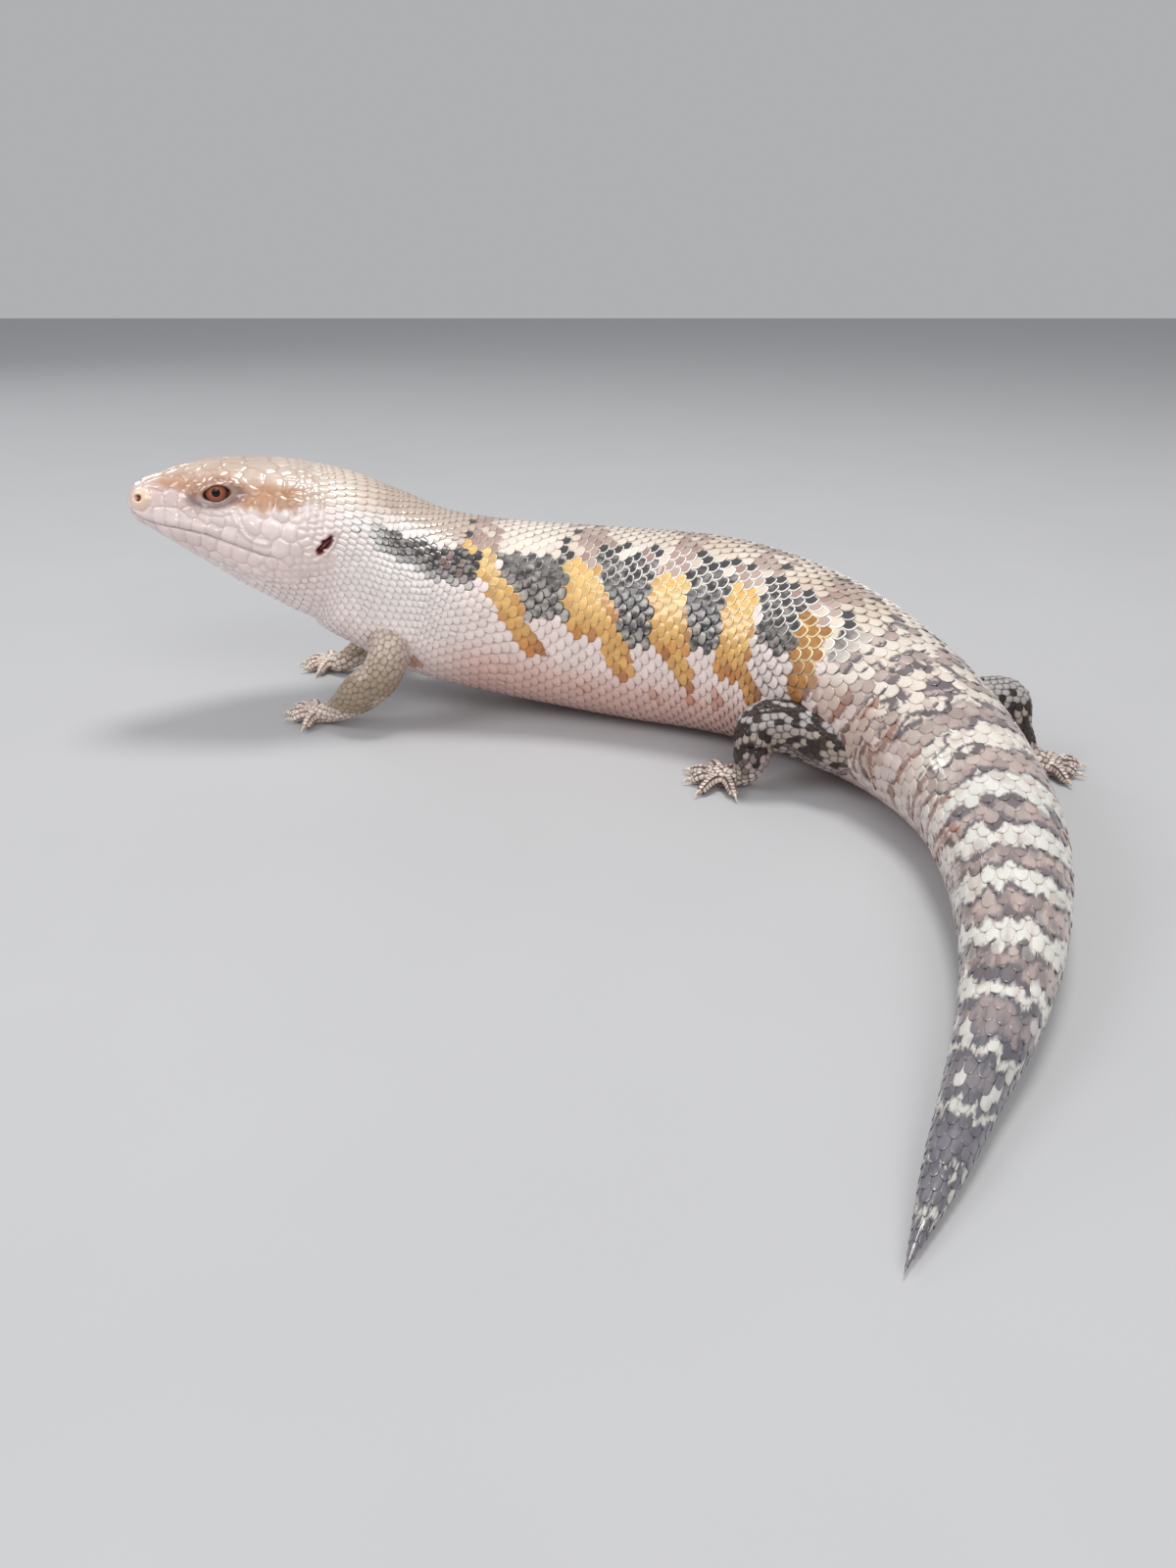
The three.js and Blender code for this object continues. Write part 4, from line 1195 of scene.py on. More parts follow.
def half_columns(s):
    """The half columns that scales stand on to one side of the midline at s: their places round,
    as parts of the girth from 0 to 0.5. Pairs narrow to nothing and end as the body tapers."""
    most = ROUND_COUNT[0]
    pairs = (most - 2) // 2
    turn, start = COLUMN_TURN
    order = np.argsort((np.arange(pairs) * turn + start) % 1.0)
    rank = np.empty(pairs, int)
    rank[order] = np.arange(pairs)
    counts = most - 2.0 * (rank + 1)
    ends = np.interp(counts, ROUND_COUNT[::-1], ROUND_S[::-1])
    ends[counts < ROUND_COUNT[-1]] = np.inf
    width = np.ones(most + 1)
    width[1 : 2 * pairs + 1] = np.repeat(smooth(1.0, 0.0, (s - ends + NARROWING_BEFORE) / NARROWING), 2)
    crowd = smooth(130, 85, s) * ridge(np.arange(most + 1) / most * 180, 85, 35)
    width = width / (1 + crowd)
    kept = width * (1 + crowd) > LEAST_WIDTH
    width = np.where(kept, width, 0)
    place = np.concatenate([[0], np.cumsum((width[1:] + width[:-1]) / 2)])
    return place[kept] / place[-1] * 0.5, np.arange(most + 1)[kept]


def body_scale_rows(early=0.0):
    """For every scale of neck, trunk and tail: s, q, half-widths left and right in parts of the
    girth, and the row spacing. early is how far before its usual start the first row lies."""
    rows = []
    s = FIRST_ROW
    number = 0
    while s < LAST_ROW:
        pitch = np.interp(s, PITCH_S, PITCH)
        place, name = half_columns(s)
        q = np.concatenate([-place[:0:-1], place])
        parity = np.concatenate([name[:0:-1], name]) % 2
        before = np.concatenate([[q[0] - (q[1] - q[0])], q[:-1]])
        after = np.concatenate([q[1:], [q[-1] + (q[-1] - q[-2])]])
        here = (parity == number % 2) & (q > -0.4999)
        for k in np.nonzero(here)[0]:
            rows.append((s, q[k], q[k] - before[k], after[k] - q[k], pitch))
        s += pitch
        number += 1
    rows = np.array(rows)
    crowd_at_shoulder(rows)
    return rows[rows[:, 0] > scale_start(rows[:, 1]) - early]


def crowd_at_shoulder(rows):
    """Draws rows together on the soft skin before the shoulder."""
    near = ridge(np.abs(rows[:, 1]) * 360, SHOULDER["round"], 34) * SHOULDER["crowd"]
    away = (rows[:, 0] - SHOULDER["s"]) / SHOULDER["reach"]
    rows[:, 4] *= 1 - near * np.exp(-(away**2)) * (1 - 2 * away**2)
    rows[:, 0] -= near * np.exp(-(away**2)) * (rows[:, 0] - SHOULDER["s"])


class Template:
    """The points of one scale across (x, from -1 to 1) and towards its rear (y, from -1 at the
    front to 1), its rings, and its faces. The last ring and point close it underneath."""

    def __init__(self, round_count, rings):
        t = np.arange(round_count) / round_count * 2 * math.pi
        turns = np.tile(t, len(rings) + 1)
        waves = (np.sin(turns), np.cos(turns))
        across, along = (np.sign(wave) * np.abs(wave) ** SCALE_SQUARENESS for wave in waves)
        radii = np.concatenate([np.repeat(rings, round_count), np.full(round_count, 1.0)])
        self.x = np.concatenate([[0], radii * across, [0]])
        self.y = np.concatenate([[0], radii * along, [0]])
        self.radius = np.concatenate([[0], radii, [0.6]])
        self.under = np.concatenate([[0], np.zeros(round_count * len(rings)), np.ones(round_count + 1)])
        faces = []
        i = np.arange(round_count)
        j = (i + 1) % round_count
        faces.append(np.stack([np.zeros_like(i), 1 + i, 1 + j], 1))
        for k in range(len(rings)):
            a = 1 + k * round_count
            b = a + round_count
            faces.append(np.stack([a + i, b + i, a + j], 1))
            faces.append(np.stack([a + j, b + i, b + j], 1))
        last = 1 + len(rings) * round_count
        bottom = last + round_count
        faces.append(np.stack([np.full_like(i, bottom), last + j, last + i], 1))
        self.faces = np.concatenate(faces)
        self.count = len(self.x)


BODY_TEMPLATE = Template(18, (0.5, 0.79, 0.9, 1.0))
LIMB_TEMPLATE = Template(12, (0.55, 0.9, 1.0))


def coloured(template, middle, edge, shade):
    """Colours of every point of scales, from their middle and edge colours, with painted shade underneath.
    """
    rim = smooth(0.78, 0.9, template.radius)[None, :, None]
    # The points underneath each scale are a quarter darker: painted shade under the scale
    low = 1 - 0.25 * template.under[None, :, None]
    return (middle * (1 - rim) + edge * rim) * shade[:, :, None] * low


def scale_map(piece, template, u, v):
    """The map that colours are baked to: a small patch for each scale at its root's place."""
    layer = piece.data.uv_layers.new(name="OFBake")
    loops = np.empty(len(piece.data.loops), np.int32)
    piece.data.loops.foreach_get("vertex_index", loops)
    which, corner = np.divmod(loops, template.count)
    around = np.stack([template.y[corner], template.x[corner]], 1)
    around = around * (1 + 0.12 * template.under[corner])[:, None]
    centre = np.stack([u[which], v[which]], 1)
    layer.data.foreach_set("uv", (centre + around * PATCH / 2).astype(np.float32).ravel())


def scale_piece(name, template, points, colours, u, v):
    """One joined mesh of many scales. points and colours are by scale and template point."""
    count = len(points)
    faces = (template.faces[None] + (np.arange(count) * template.count)[:, None, None]).reshape(-1, 3)
    piece = new_mesh(name, points.reshape(-1, 3), [faces])
    set_colour(piece, colours.reshape(-1, 3))
    scale_map(piece, template, u, v)
    return piece


def laid_out(rows):
    """Scales bent over the body: their points, five values of luck each, and the points' ways along
    and round."""
    s, q, left, right, pitch = rows.T
    form = BODY_TEMPLATE
    cells = np.stack([np.round(s * 10), np.round(q * 10000)], 1).astype(int)
    luck = [hashed(cells, 40 + k) for k in range(5)]
    turn = (luck[0] - 0.5) * TURN_SPREAD
    stretch = 1 + (luck[1] - 0.5) * LENGTH_SPREAD
    x = form.x[None] * np.cos(turn)[:, None] - form.y[None] * np.sin(turn)[:, None]
    y = form.y[None] * np.cos(turn)[:, None] + form.x[None] * np.sin(turn)[:, None]
    across = np.where(x > 0, right[:, None], left[:, None]) * SCALE_FILL
    q_at = q[:, None] + x * across
    along = np.where(y > 0, SCALE_REAR, SCALE_FRONT) * (pitch * stretch)[:, None]
    dy = y * along
    s_at = s[:, None] + dy
    step = np.interp(s, STEP_S, SCALE_STEP * np.array(STEP_PARTS))
    dome = np.interp(s, DOME_S, SCALE_DOME * np.array(DOME_PARTS))
    height = -SCALE_SINK + (step / pitch)[:, None] * dy + (luck[2] - 0.5)[:, None] * DEPTH_SPREAD
    height = height + dome[:, None] * (1 - x**2) - SCALE_ROLL * smooth(0.9, 1.0, form.radius)[None]
    height = height - SCALE_THICK * form.under[None]
    thin = np.clip(BODY.girth_at(s) / FULL_GIRTH, 0.5, 1)[:, None]
    points = BODY.point(s_at, q_at, height * thin)
    points[..., 2] = np.maximum(points[..., 2], 0.0)
    return points, luck, s_at, q_at


def body_scale_colours(rows, luck, s_at, q_at):
    """Colours of the points of the body's scales. Markings go by whole scales on the flanks and run
    across them on the rump and tail."""
    carry = np.interp(rows[:, 0], CARRY_S, CARRY)[:, None]
    s_mark = rows[:, :1] + (s_at - rows[:, :1]) * carry
    q_mark = rows[:, 1:2] + (q_at - rows[:, 1:2]) * carry
    streaks = np.stack([s_at / 1.7, q_at * BODY.girth_at(s_at) / 0.9], -1)
    fine = noise(streaks.reshape(-1, 2), 1.0, 51)
    every = np.repeat(luck[3], BODY_TEMPLATE.count)
    middle, edge = marking(s_mark.ravel(), q_mark.ravel(), every, fine)
    shape = (*s_at.shape, 3)
    tone = (0.94 + 0.12 * luck[4])[:, None]
    shade = tone * (0.97 + 0.06 * fine.reshape(s_at.shape))
    return coloured(BODY_TEMPLATE, middle.reshape(shape), edge.reshape(shape), shade)


def coat_bands(degrees):
    """The lengthwise pieces of the coat: a name, and whether each scale is in it."""
    flank, side, belly = BAND_EDGES
    bands = {"scales_back": np.abs(degrees) < flank}
    for sign, name in ((-1, "left"), (1, "right")):
        down = degrees * sign
        bands[f"scales_{name}_flank"] = (down >= flank) & (down < side)
        bands[f"scales_{name}_side"] = (down >= side) & (down < belly)
        bands[f"scales_{name}_belly"] = down >= belly
    return bands


def body_scales():
    """The scales of neck, trunk and tail, left out over the ears and inside the legs."""
    rows = body_scale_rows()
    centres = BODY.point(rows[:, 0], rows[:, 1])
    hidden = ear_reach(centres, EAR_BORDER) < 1
    for leg in LEG_SET:
        hidden |= leg.limb.inside(centres, 1.0)
    rows = rows[~hidden]
    points, luck, s_at, q_at = laid_out(rows)
    colours = body_scale_colours(rows, luck, s_at, q_at)
    u = rows[:, 0] / BODY.length * 0.98 + 0.01
    v = rows[:, 1] * 0.98 + 0.5
    pieces = []
    for name, pick in coat_bands(rows[:, 1] * 360).items():
        pieces.append(scale_piece(name, BODY_TEMPLATE, points[pick], colours[pick], u[pick], v[pick]))
    return pieces


# Spacing of the scales of the legs, by part, and how many times their places are evened out
LIMB_SPACING = 1.85
PALM_SPACING = 1.7
TOE_ROW = 1.15
TOE_ROUND = 5
SPREADING_STEPS = 8
# Shape of a leg's scale, in parts of the room it has, and its heights
LEG_SCALE = {
    "half": 0.53, "toe_half": 0.62, "rear": 0.72, "front": 0.9,
    "sink": 0.2, "step": 0.16, "dome": 0.1, "roll": 0.05, "thick": 0.22,
}
TOE_FLATNESS = 0.45
# How many neighbours tell how much room a scale has
NEIGHBOURS = 5


def leg_places(leg, points):
    """For points on a leg: the number of the tube each is on, its way along and round it, and the
    way the scales lie there."""
    best = np.full(len(points), np.inf)
    number = np.zeros(len(points), int)
    along = np.zeros(len(points))
    round_ = np.zeros(len(points))
    lie = np.zeros((len(points), 3))
    for k, tube in enumerate(leg.tubes):
        nearest = nearest_of(tube.centre, points)
        radius = np.maximum(tube.girth[nearest] / (2 * math.pi), 0.3)
        away = points - tube.centre[nearest]
        reach = np.linalg.norm(away, axis=1) / radius
        closer = reach < best
        best[closer] = reach[closer]
        number[closer] = k
        along[closer] = (tube.s[nearest] / tube.length)[closer]
        axes = [axis[nearest] for axis in tube.axes]
        turn = np.arctan2(np.sum(away * axes[1], 1), np.sum(away * axes[2], 1)) / (2 * math.pi)
        round_[closer] = turn[closer]
        lie[closer] = axes[0][closer]
    return number, along, round_, lie


def nearest_of(places, points):
    """For each point the number of the place nearest to it."""
    tree = kdtree.KDTree(len(places))
    for k, place in enumerate(places):
        tree.insert(place, k)
    tree.balance()
    return np.array([tree.find(p)[1] for p in points])


def spread_over(points, spacing, seed):
    """Picks of points about a spacing apart, then eased to lie evenly."""
    order = np.argsort(hashed(np.round(points * 100).astype(int), seed))
    chosen = []
    for k in order:
        if chosen:
            gap = np.linalg.norm(points[chosen] - points[k], axis=1)
            if (gap < 0.86 * (spacing[chosen] + spacing[k]) / 2).any():
                continue
        chosen.append(k)
    places = points[chosen]
    for _ in range(SPREADING_STEPS):
        owner = np.empty(len(points), int)
        for start in range(0, len(points), 2000):
            block = points[start : start + 2000]
            away = np.linalg.norm(block[:, None] - places[None], axis=2)
            owner[start : start + 2000] = np.argmin(away, axis=1)
        count = np.maximum(np.bincount(owner, minlength=len(places)), 1)
        for axis in range(3):
            total = np.bincount(owner, weights=points[:, axis], minlength=len(places))
            places[:, axis] = total / count
    return places


def toe_places(leg):
    """Middles of the scales of the toes, in rings down each toe with one scale on top."""
    places = []
    for toe in leg.toes:
        for s in np.arange(TOE_ROW / 2, toe.length, TOE_ROW):
            places.append(toe.point(np.full(TOE_ROUND, s), np.arange(TOE_ROUND) / TOE_ROUND))
    places = np.concatenate(places)
    return places[leg_places(leg, places)[0] > 1]


def leg_scale_places(leg, skin_points, surface):
    """Middles of a leg's scales on its skin, and the directions straight out there."""
    number = leg_places(leg, skin_points)[0]
    spacing = np.where(number == 0, LIMB_SPACING, PALM_SPACING)
    limb = number < 2
    places = np.concatenate([spread_over(skin_points[limb], spacing[limb], 77), toe_places(leg)])
    hidden = BODY.inside(places, 1.0) | (places[:, 2] < 0.3)
    found = [surface.find_nearest(p) for p in places[~hidden]]
    return np.array([f[0] for f in found]), np.array([f[1] for f in found])


def room_round(places):
    """How far each place is from its neighbours."""
    gap = np.linalg.norm(places[:, None] - places[None], axis=2)
    gap[np.arange(len(places)), np.arange(len(places))] = np.inf
    return np.sort(gap, axis=1)[:, :NEIGHBOURS].mean(axis=1)


def leg_scales(leg, skin_points, surface):
    """All scales of a leg, laid over its skin: points, colours, and places on the map."""
    places, normals = leg_scale_places(leg, skin_points, surface)
    number, along, round_, lie = leg_places(leg, places)
    room = room_round(places)
    luck = [hashed(np.round(places * 50).astype(int), 90 + k) for k in range(3)]
    rear = unit(lie - normals * np.sum(lie * normals, axis=1, keepdims=True))
    across = np.cross(normals, rear)
    form = LIMB_TEMPLATE
    half = np.where(number > 1, LEG_SCALE["toe_half"], LEG_SCALE["half"])
    x = form.x[None] * (room * half)[:, None]
    reach = np.where(form.y > 0, LEG_SCALE["rear"], LEG_SCALE["front"])
    y = (form.y * reach)[None] * room[:, None]
    flat = places[:, None] + across[:, None] * x[..., None] + rear[:, None] * y[..., None]
    relief = np.where(number > 1, TOE_FLATNESS, 1.0)[:, None]
    height = LIMB_COAT - LEG_SCALE["sink"] + LEG_SCALE["step"] * relief * y / room[:, None]
    height = height + LEG_SCALE["dome"] * relief * (1 - form.x[None] ** 2)
    height = height - LEG_SCALE["roll"] * smooth(0.9, 1.0, form.radius)[None]
    height = height - LEG_SCALE["thick"] * form.under[None]
    height = height * np.minimum(1, room / PALM_SPACING)[:, None]
    points = raised_from(surface, flat.reshape(-1, 3), height.ravel()).reshape(flat.shape)
    under = smooth(0.28, 0.4, np.abs(round_)) * (number == 0)
    middle, edge = leg_colours(leg, places, luck[0], under)
    tone = (0.93 + 0.14 * luck[1])[:, None] * np.ones(points.shape[:2])
    colours = coloured(form, middle[:, None], edge[:, None], tone)
    limb_map = np.stack([0.01 + 0.6 * along, 0.25 + 0.44 * round_ + 0.5 * number], 1)
    toe_map = np.stack([0.64 + 0.34 * along, 0.1 + 0.17 * round_ + 0.196 * (number - 2)], 1)
    return points, colours, np.where((number < 2)[:, None], limb_map, toe_map)


def raised_from(surface, flat, height):
    """Points brought to the nearest place of a surface and raised from it, never below the floor."""
    points = np.empty_like(flat)
    for k, p in enumerate(flat):
        place, normal, _, _ = surface.find_nearest(p)
        points[k] = np.array(place) + np.array(normal) * height[k]
    points[:, 2] = np.maximum(points[:, 2], 0.0)
    return points


# The feet of forelegs (True) and hind legs (False): how pale, how dark single scales are, the colour
# of edges and how strong it is
FOOT_LOOKS = {
    True: {"paleness": 1.0, "dark": 0.2, "edge": FOOT_EDGE, "edged": 0.4},
    False: {"paleness": 0.86, "dark": 0.6, "edge": FOOT_EDGE * 0.35, "edged": 0.85},
}
KHAKI_EDGE = np.array([0.70, 0.64, 0.60])


def foreleg_colours(leg, points):
    """Khaki, paler towards the body and in clouds."""
    near_body = smooth(26, 8, np.linalg.norm(points - leg.limb.centre[0], axis=1))
    middle = mix(KHAKI, FLANK, 0.7 * near_body)
    middle = mix(middle, FOOT, 0.3 * smooth(0.5, 0.7, noise(points, 5.2, 61)))
    return middle, middle * KHAKI_EDGE


def hindleg_colours(points, luck, luck2, under):
    """Near black with clusters of cream scales, which are more and paler on top."""
    top = smooth(18, 23, points[:, 2])
    clusters = noise(points, 5.2, 61) * 0.45 + noise(points, 2.2, 62) * 0.55
    clustered = clusters > 0.53 - 0.07 * top
    middle = mix(HIND_DARK, mix(HIND_PALE, HIND_TOP, top), clustered)
    middle = mix(middle, HIND_BROWN, 0.5 * luck2 * ~clustered)
    middle = mix(middle, HIND_UNDER, under * (luck > 0.25))
    return middle, mix(middle * 0.7, HIND_DARK, 0.55)


def leg_colours(leg, points, luck, under):
    """Middle and edge colours of a leg's skin at points. under is 1 on the limb's underside."""
    luck2 = (luck * 7.13) % 1
    if leg.fore:
        middle, edge = foreleg_colours(leg, points)
    else:
        middle, edge = hindleg_colours(points, luck, luck2, under)
    palm = leg.palm.centre[len(leg.palm.centre) // 2]
    foot = smooth(8.5, 5.5, points[:, 2]) * smooth(22, 18, np.linalg.norm(points - palm, axis=1))
    looks = FOOT_LOOKS[leg.fore]
    middle = mix(middle, FOOT * (0.9 + 0.16 * luck2[:, None]) * looks["paleness"], foot)
    middle = mix(middle, FOOT_EDGE, foot * (luck > 0.9) * looks["dark"])
    edge = mix(edge, looks["edge"], foot * looks["edged"])
    return middle, edge


def all_leg_scales(leg_skins):
    """The scales of both forelegs, and those of both hind legs, each as one piece."""
    pieces = []
    for name in ("foreleg_scales", "hindleg_scales"):
        parts = []
        for leg in LEG_SET:
            if leg.name.startswith(name[:4]):
                points, colours, place = leg_scales(leg, *leg_skins[leg.name])
                place = place * (1, 0.49) + (0, 0.5 * ("right" in leg.name))
                parts.append((points, colours, place))
        points, colours, place = (np.concatenate(column) for column in zip(*parts))
        pieces.append(scale_piece(name, LIMB_TEMPLATE, points, colours, place[:, 0], place[:, 1]))
    return pieces


# The one skin under it all. Its rings are closest round the eyes: their spacing and the points in
# each ring of the head and of the rest
RING_GAP_EYE = 0.25
RING_GAP_HEAD = 0.4
RING_GAP_REST = 1.8
HEAD_SIDES = 360
REST_SIDES = 120
# For limb, palm and toe: the spacing of rings before the skins are joined, and the points in each
LEG_RINGS = ((1.2, 28), (0.7, 28), (0.6, 14))
LEG_VOXEL = 0.5


def body_rings():
    """Ways along the body of the skin's rings, and the points in each ring."""
    eye = EYE["back"]
    tip = np.array([0.05, 0.15, 0.3, 0.5, 0.75, 1.05])
    snout = np.arange(1.4, eye - 5, RING_GAP_HEAD)
    round_eye = np.arange(eye - 5, eye + 5.6, RING_GAP_EYE)
    cheek = np.arange(eye + 5.9, HEAD_END, RING_GAP_HEAD)
    rest = np.arange(HEAD_END + 0.6, BODY.length - 3, RING_GAP_REST)
    end = BODY.length - np.array([2.4, 1.6, 0.9, 0.4, 0.1])
    head = np.concatenate([tip, snout, round_eye, cheek])
    rest = np.concatenate([rest, end])
    return np.concatenate([head, rest]), np.repeat([HEAD_SIDES, REST_SIDES], [len(head), len(rest)])


def body_skin():
    """The body's skin with the relief of the head, and the colours of its points."""
    points, places, quads, triangles = tube_mesh_parts(BODY, *body_rings())
    s, q = places.T
    head = s < HEAD_END
    colours = np.zeros_like(points)
    points[head], colours[head] = head_form(points[head], places[head])
    depth = np.minimum(BODY_COAT, BODY.girth_at(s[~head]) / 50)
    points[~head] -= BODY.normal(s[~head], q[~head]) * depth[:, None]
    half = np.full(len(places), 0.5)
    edge = marking(s, q, half, half)[1]
    # Behind the head the skin takes the scales' edge colour, darkened as painted shade under and between
    # the scales
    colours = mix(colours, edge * 0.9, smooth(0.5, 3.0, s - scale_start(q)))
    points[:, 2] = np.maximum(points[:, 2], SKIN_FLOOR_GAP)
    return points, colours, quads, triangles


def inset(points, quads, triangles, depth):
    """Points moved in along the normals of a closed mesh."""
    normals = np.zeros_like(points)
    for faces in (*quads, *triangles):
        corners = points[faces]
        face_normal = np.cross(corners[:, 2] - corners[:, 0], corners[:, -1] - corners[:, 1])
        if faces.shape[1] == 3:
            face_normal = np.cross(corners[:, 1] - corners[:, 0], corners[:, 2] - corners[:, 0])
        for k in range(faces.shape[1]):
            np.add.at(normals, faces[:, k], face_normal)
    return points - unit(normals) * depth


def apply_modifiers(piece):
    """Gives a piece the mesh that its modifiers make."""
    graph = bpy.context.evaluated_depsgraph_get()
    graph.update()
    mesh = bpy.data.meshes.new_from_object(piece.evaluated_get(graph))
    old = piece.data
    piece.modifiers.clear()
    piece.data = mesh
    bpy.data.meshes.remove(old)


def join_into(first, others):
    """Makes one closed mesh of a piece and others, which are used up."""
    for other in others:
        step = first.modifiers.new("join", "BOOLEAN")
        step.operation = "UNION"
        step.solver = "MANIFOLD"
        step.object = other
        apply_modifiers(first)
        mesh = other.data
        bpy.data.objects.remove(other)
        bpy.data.meshes.remove(mesh)


def vertices_of(piece):
    """A piece's points in millimetres."""
    flat = np.empty(len(piece.data.vertices) * 3, np.float32)
    piece.data.vertices.foreach_get("co", flat)
    return flat.reshape(-1, 3) / MM


def leg_skin(leg):
    """One leg's skin as a piece: its tubes grown together and eased."""
    parts = []
    for number, tube in enumerate(leg.tubes):
        gap, sides = LEG_RINGS[min(number, 2)]
        rings = np.linspace(0.08, tube.length - 0.08, int(tube.length / gap))
        points, _, quads, triangles = tube_mesh_parts(tube, rings, np.full(len(rings), sides))
        points = inset(points, quads, triangles, LIMB_COAT if number < 2 else LIMB_COAT * 0.5)
        parts.append(new_mesh(f"{leg.name}_part_{number}", points, [*quads, *triangles]))
    first = parts[0]
    join_into(first, parts[1:])
    remesh = first.modifiers.new("grow", "REMESH")
    remesh.mode = "VOXEL"
    remesh.voxel_size = LEG_VOXEL * MM
    remesh.use_smooth_shade = True
    ease = first.modifiers.new("ease", "SMOOTH")
    ease.iterations = 2
    ease.factor = 0.4
    apply_modifiers(first)
    points = vertices_of(first)
    points[:, 2] = np.maximum(points[:, 2], SKIN_FLOOR_GAP)
    first.data.vertices.foreach_set("co", (points * MM).astype(np.float32).ravel())
    first.data.update()
    return first


def skin():
    """The one skin of body and legs, and by leg the points and surface that its scales lie on. Where
    the joining made new points, they take the colour of the nearest known one."""
    points, colours, quads, triangles = body_skin()
    piece = new_mesh("skin", points, [*quads, *triangles])
    leg_skins = {}
    where, known = [points], [colours]
    for leg in LEG_SET:
        grown = leg_skin(leg)
        place = vertices_of(grown)
        faces = [tuple(face.vertices) for face in grown.data.polygons]
        leg_skins[leg.name] = (place, BVHTree.FromPolygons(place.tolist(), faces))
        join_into(piece, [grown])
        edge = leg_colours(leg, place, np.full(len(place), 0.5), np.zeros(len(place)))[1]
        where.append(place)
        # The leg's skin takes its scales' edge colour, darkened as painted shade under and between the
        # scales
        known.append(edge * 0.8)
    nearest = nearest_of(np.concatenate(where), vertices_of(piece))
    set_colour(piece, np.concatenate(known)[nearest])
    return piece, leg_skins


# Claws and eyes
CLAW_SIDES = 14
CLAW_RINGS = 9
CLAW_RADIUS = 0.75
CLAW_ROOT = 0.5


def claw_points(tip, heading):
    """Points of one curved horn cone: its rings from the root in the toe on, then the middles that
    close its root and its point."""
    across = np.array([-heading[1], heading[0], 0.0])
    root = tip - heading * CLAW_ROOT
    turn = np.arange(CLAW_SIDES) / CLAW_SIDES * 2 * math.pi
    points = []
    for k in range(CLAW_RINGS):
        t = k / (CLAW_RINGS - 1)
        centre = root + heading * (CLAW_REACH + CLAW_ROOT) * t
        arch = CLAW_RADIUS * math.sin(math.pi * min(t * 0.9, 1)) * 0.7
        centre[2] = tip[2] + 0.25 + arch - 0.95 * t * t
        radius = CLAW_RADIUS * (1 - t) ** 0.75 + 0.05
        ring = centre + np.outer(np.cos(turn), across) * radius * 0.8
        points.append(ring + np.outer(np.sin(turn), (0, 0, 1)) * radius)
    points.append(np.array([root + (0, 0, 0.25), centre + heading * 0.1]))
    return np.concatenate(points)


def claws(leg):
    """The leg's claws as one piece."""
    points, quads, triangles = [], [], []
    i = np.arange(CLAW_SIDES)
    j = (i + 1) % CLAW_SIDES
    start = 0
    for tip, heading in leg.claws:
        points.append(claw_points(tip, heading))
        for a in range(start, start + (CLAW_RINGS - 1) * CLAW_SIDES, CLAW_SIDES):
            quads.append(np.stack([a + i, a + j, a + CLAW_SIDES + j, a + CLAW_SIDES + i], 1))
        last = start + (CLAW_RINGS - 1) * CLAW_SIDES
        middle = last + CLAW_SIDES
        triangles.append(np.stack([np.full_like(i, middle), start + j, start + i], 1))
        triangles.append(np.stack([np.full_like(i, middle + 1), last + i, last + j], 1))
        start = middle + 2
    points = np.concatenate(points)
    points[:, 2] = np.maximum(points[:, 2], 0.05)
    return new_mesh(f"{leg.name}_claws", points, [*quads, *triangles])


IRIS = srgb(152, 82, 60)
IRIS_RIM = srgb(84, 38, 28)
IRIS_INNER = srgb(196, 118, 78)
PUPIL = srgb(3, 2, 3)
EYE_CORNER = srgb(178, 138, 128)
PUPIL_RADIUS = 1.2
# Rings of the eyeball and points in each
EYE_RINGS = 72
EYE_SIDES = 72


def eye_colours(points, away, gaze, a, b):
    """Colours of an eyeball's points: pupil, rayed iris with a dark rim, and the corner in front."""
    turn = np.arctan2(points @ b, points @ a)
    rays = noise(np.stack([np.cos(turn) * 9, np.sin(turn) * 9, away * 0.8], 1), 1.0, 81)
    colour = mix(IRIS, IRIS_INNER, smooth(2.1, 1.2, away) * 0.55 + 0.3 * (rays - 0.5))
    colour = mix(colour, IRIS_RIM, smooth(2.2, 3.0, away) * 0.8)
    colour = mix(colour, PUPIL, smooth(PUPIL_RADIUS + 0.12, PUPIL_RADIUS - 0.06, away))
    colour = mix(colour, IRIS_RIM * 0.3, smooth(2.85, 3.1, away))
    colour = mix(colour, EYE_CORNER, smooth(3.0, 3.3, points @ HEAD_BACK))
    return np.where((points @ gaze > 0)[:, None], colour, IRIS_RIM * 0.4)


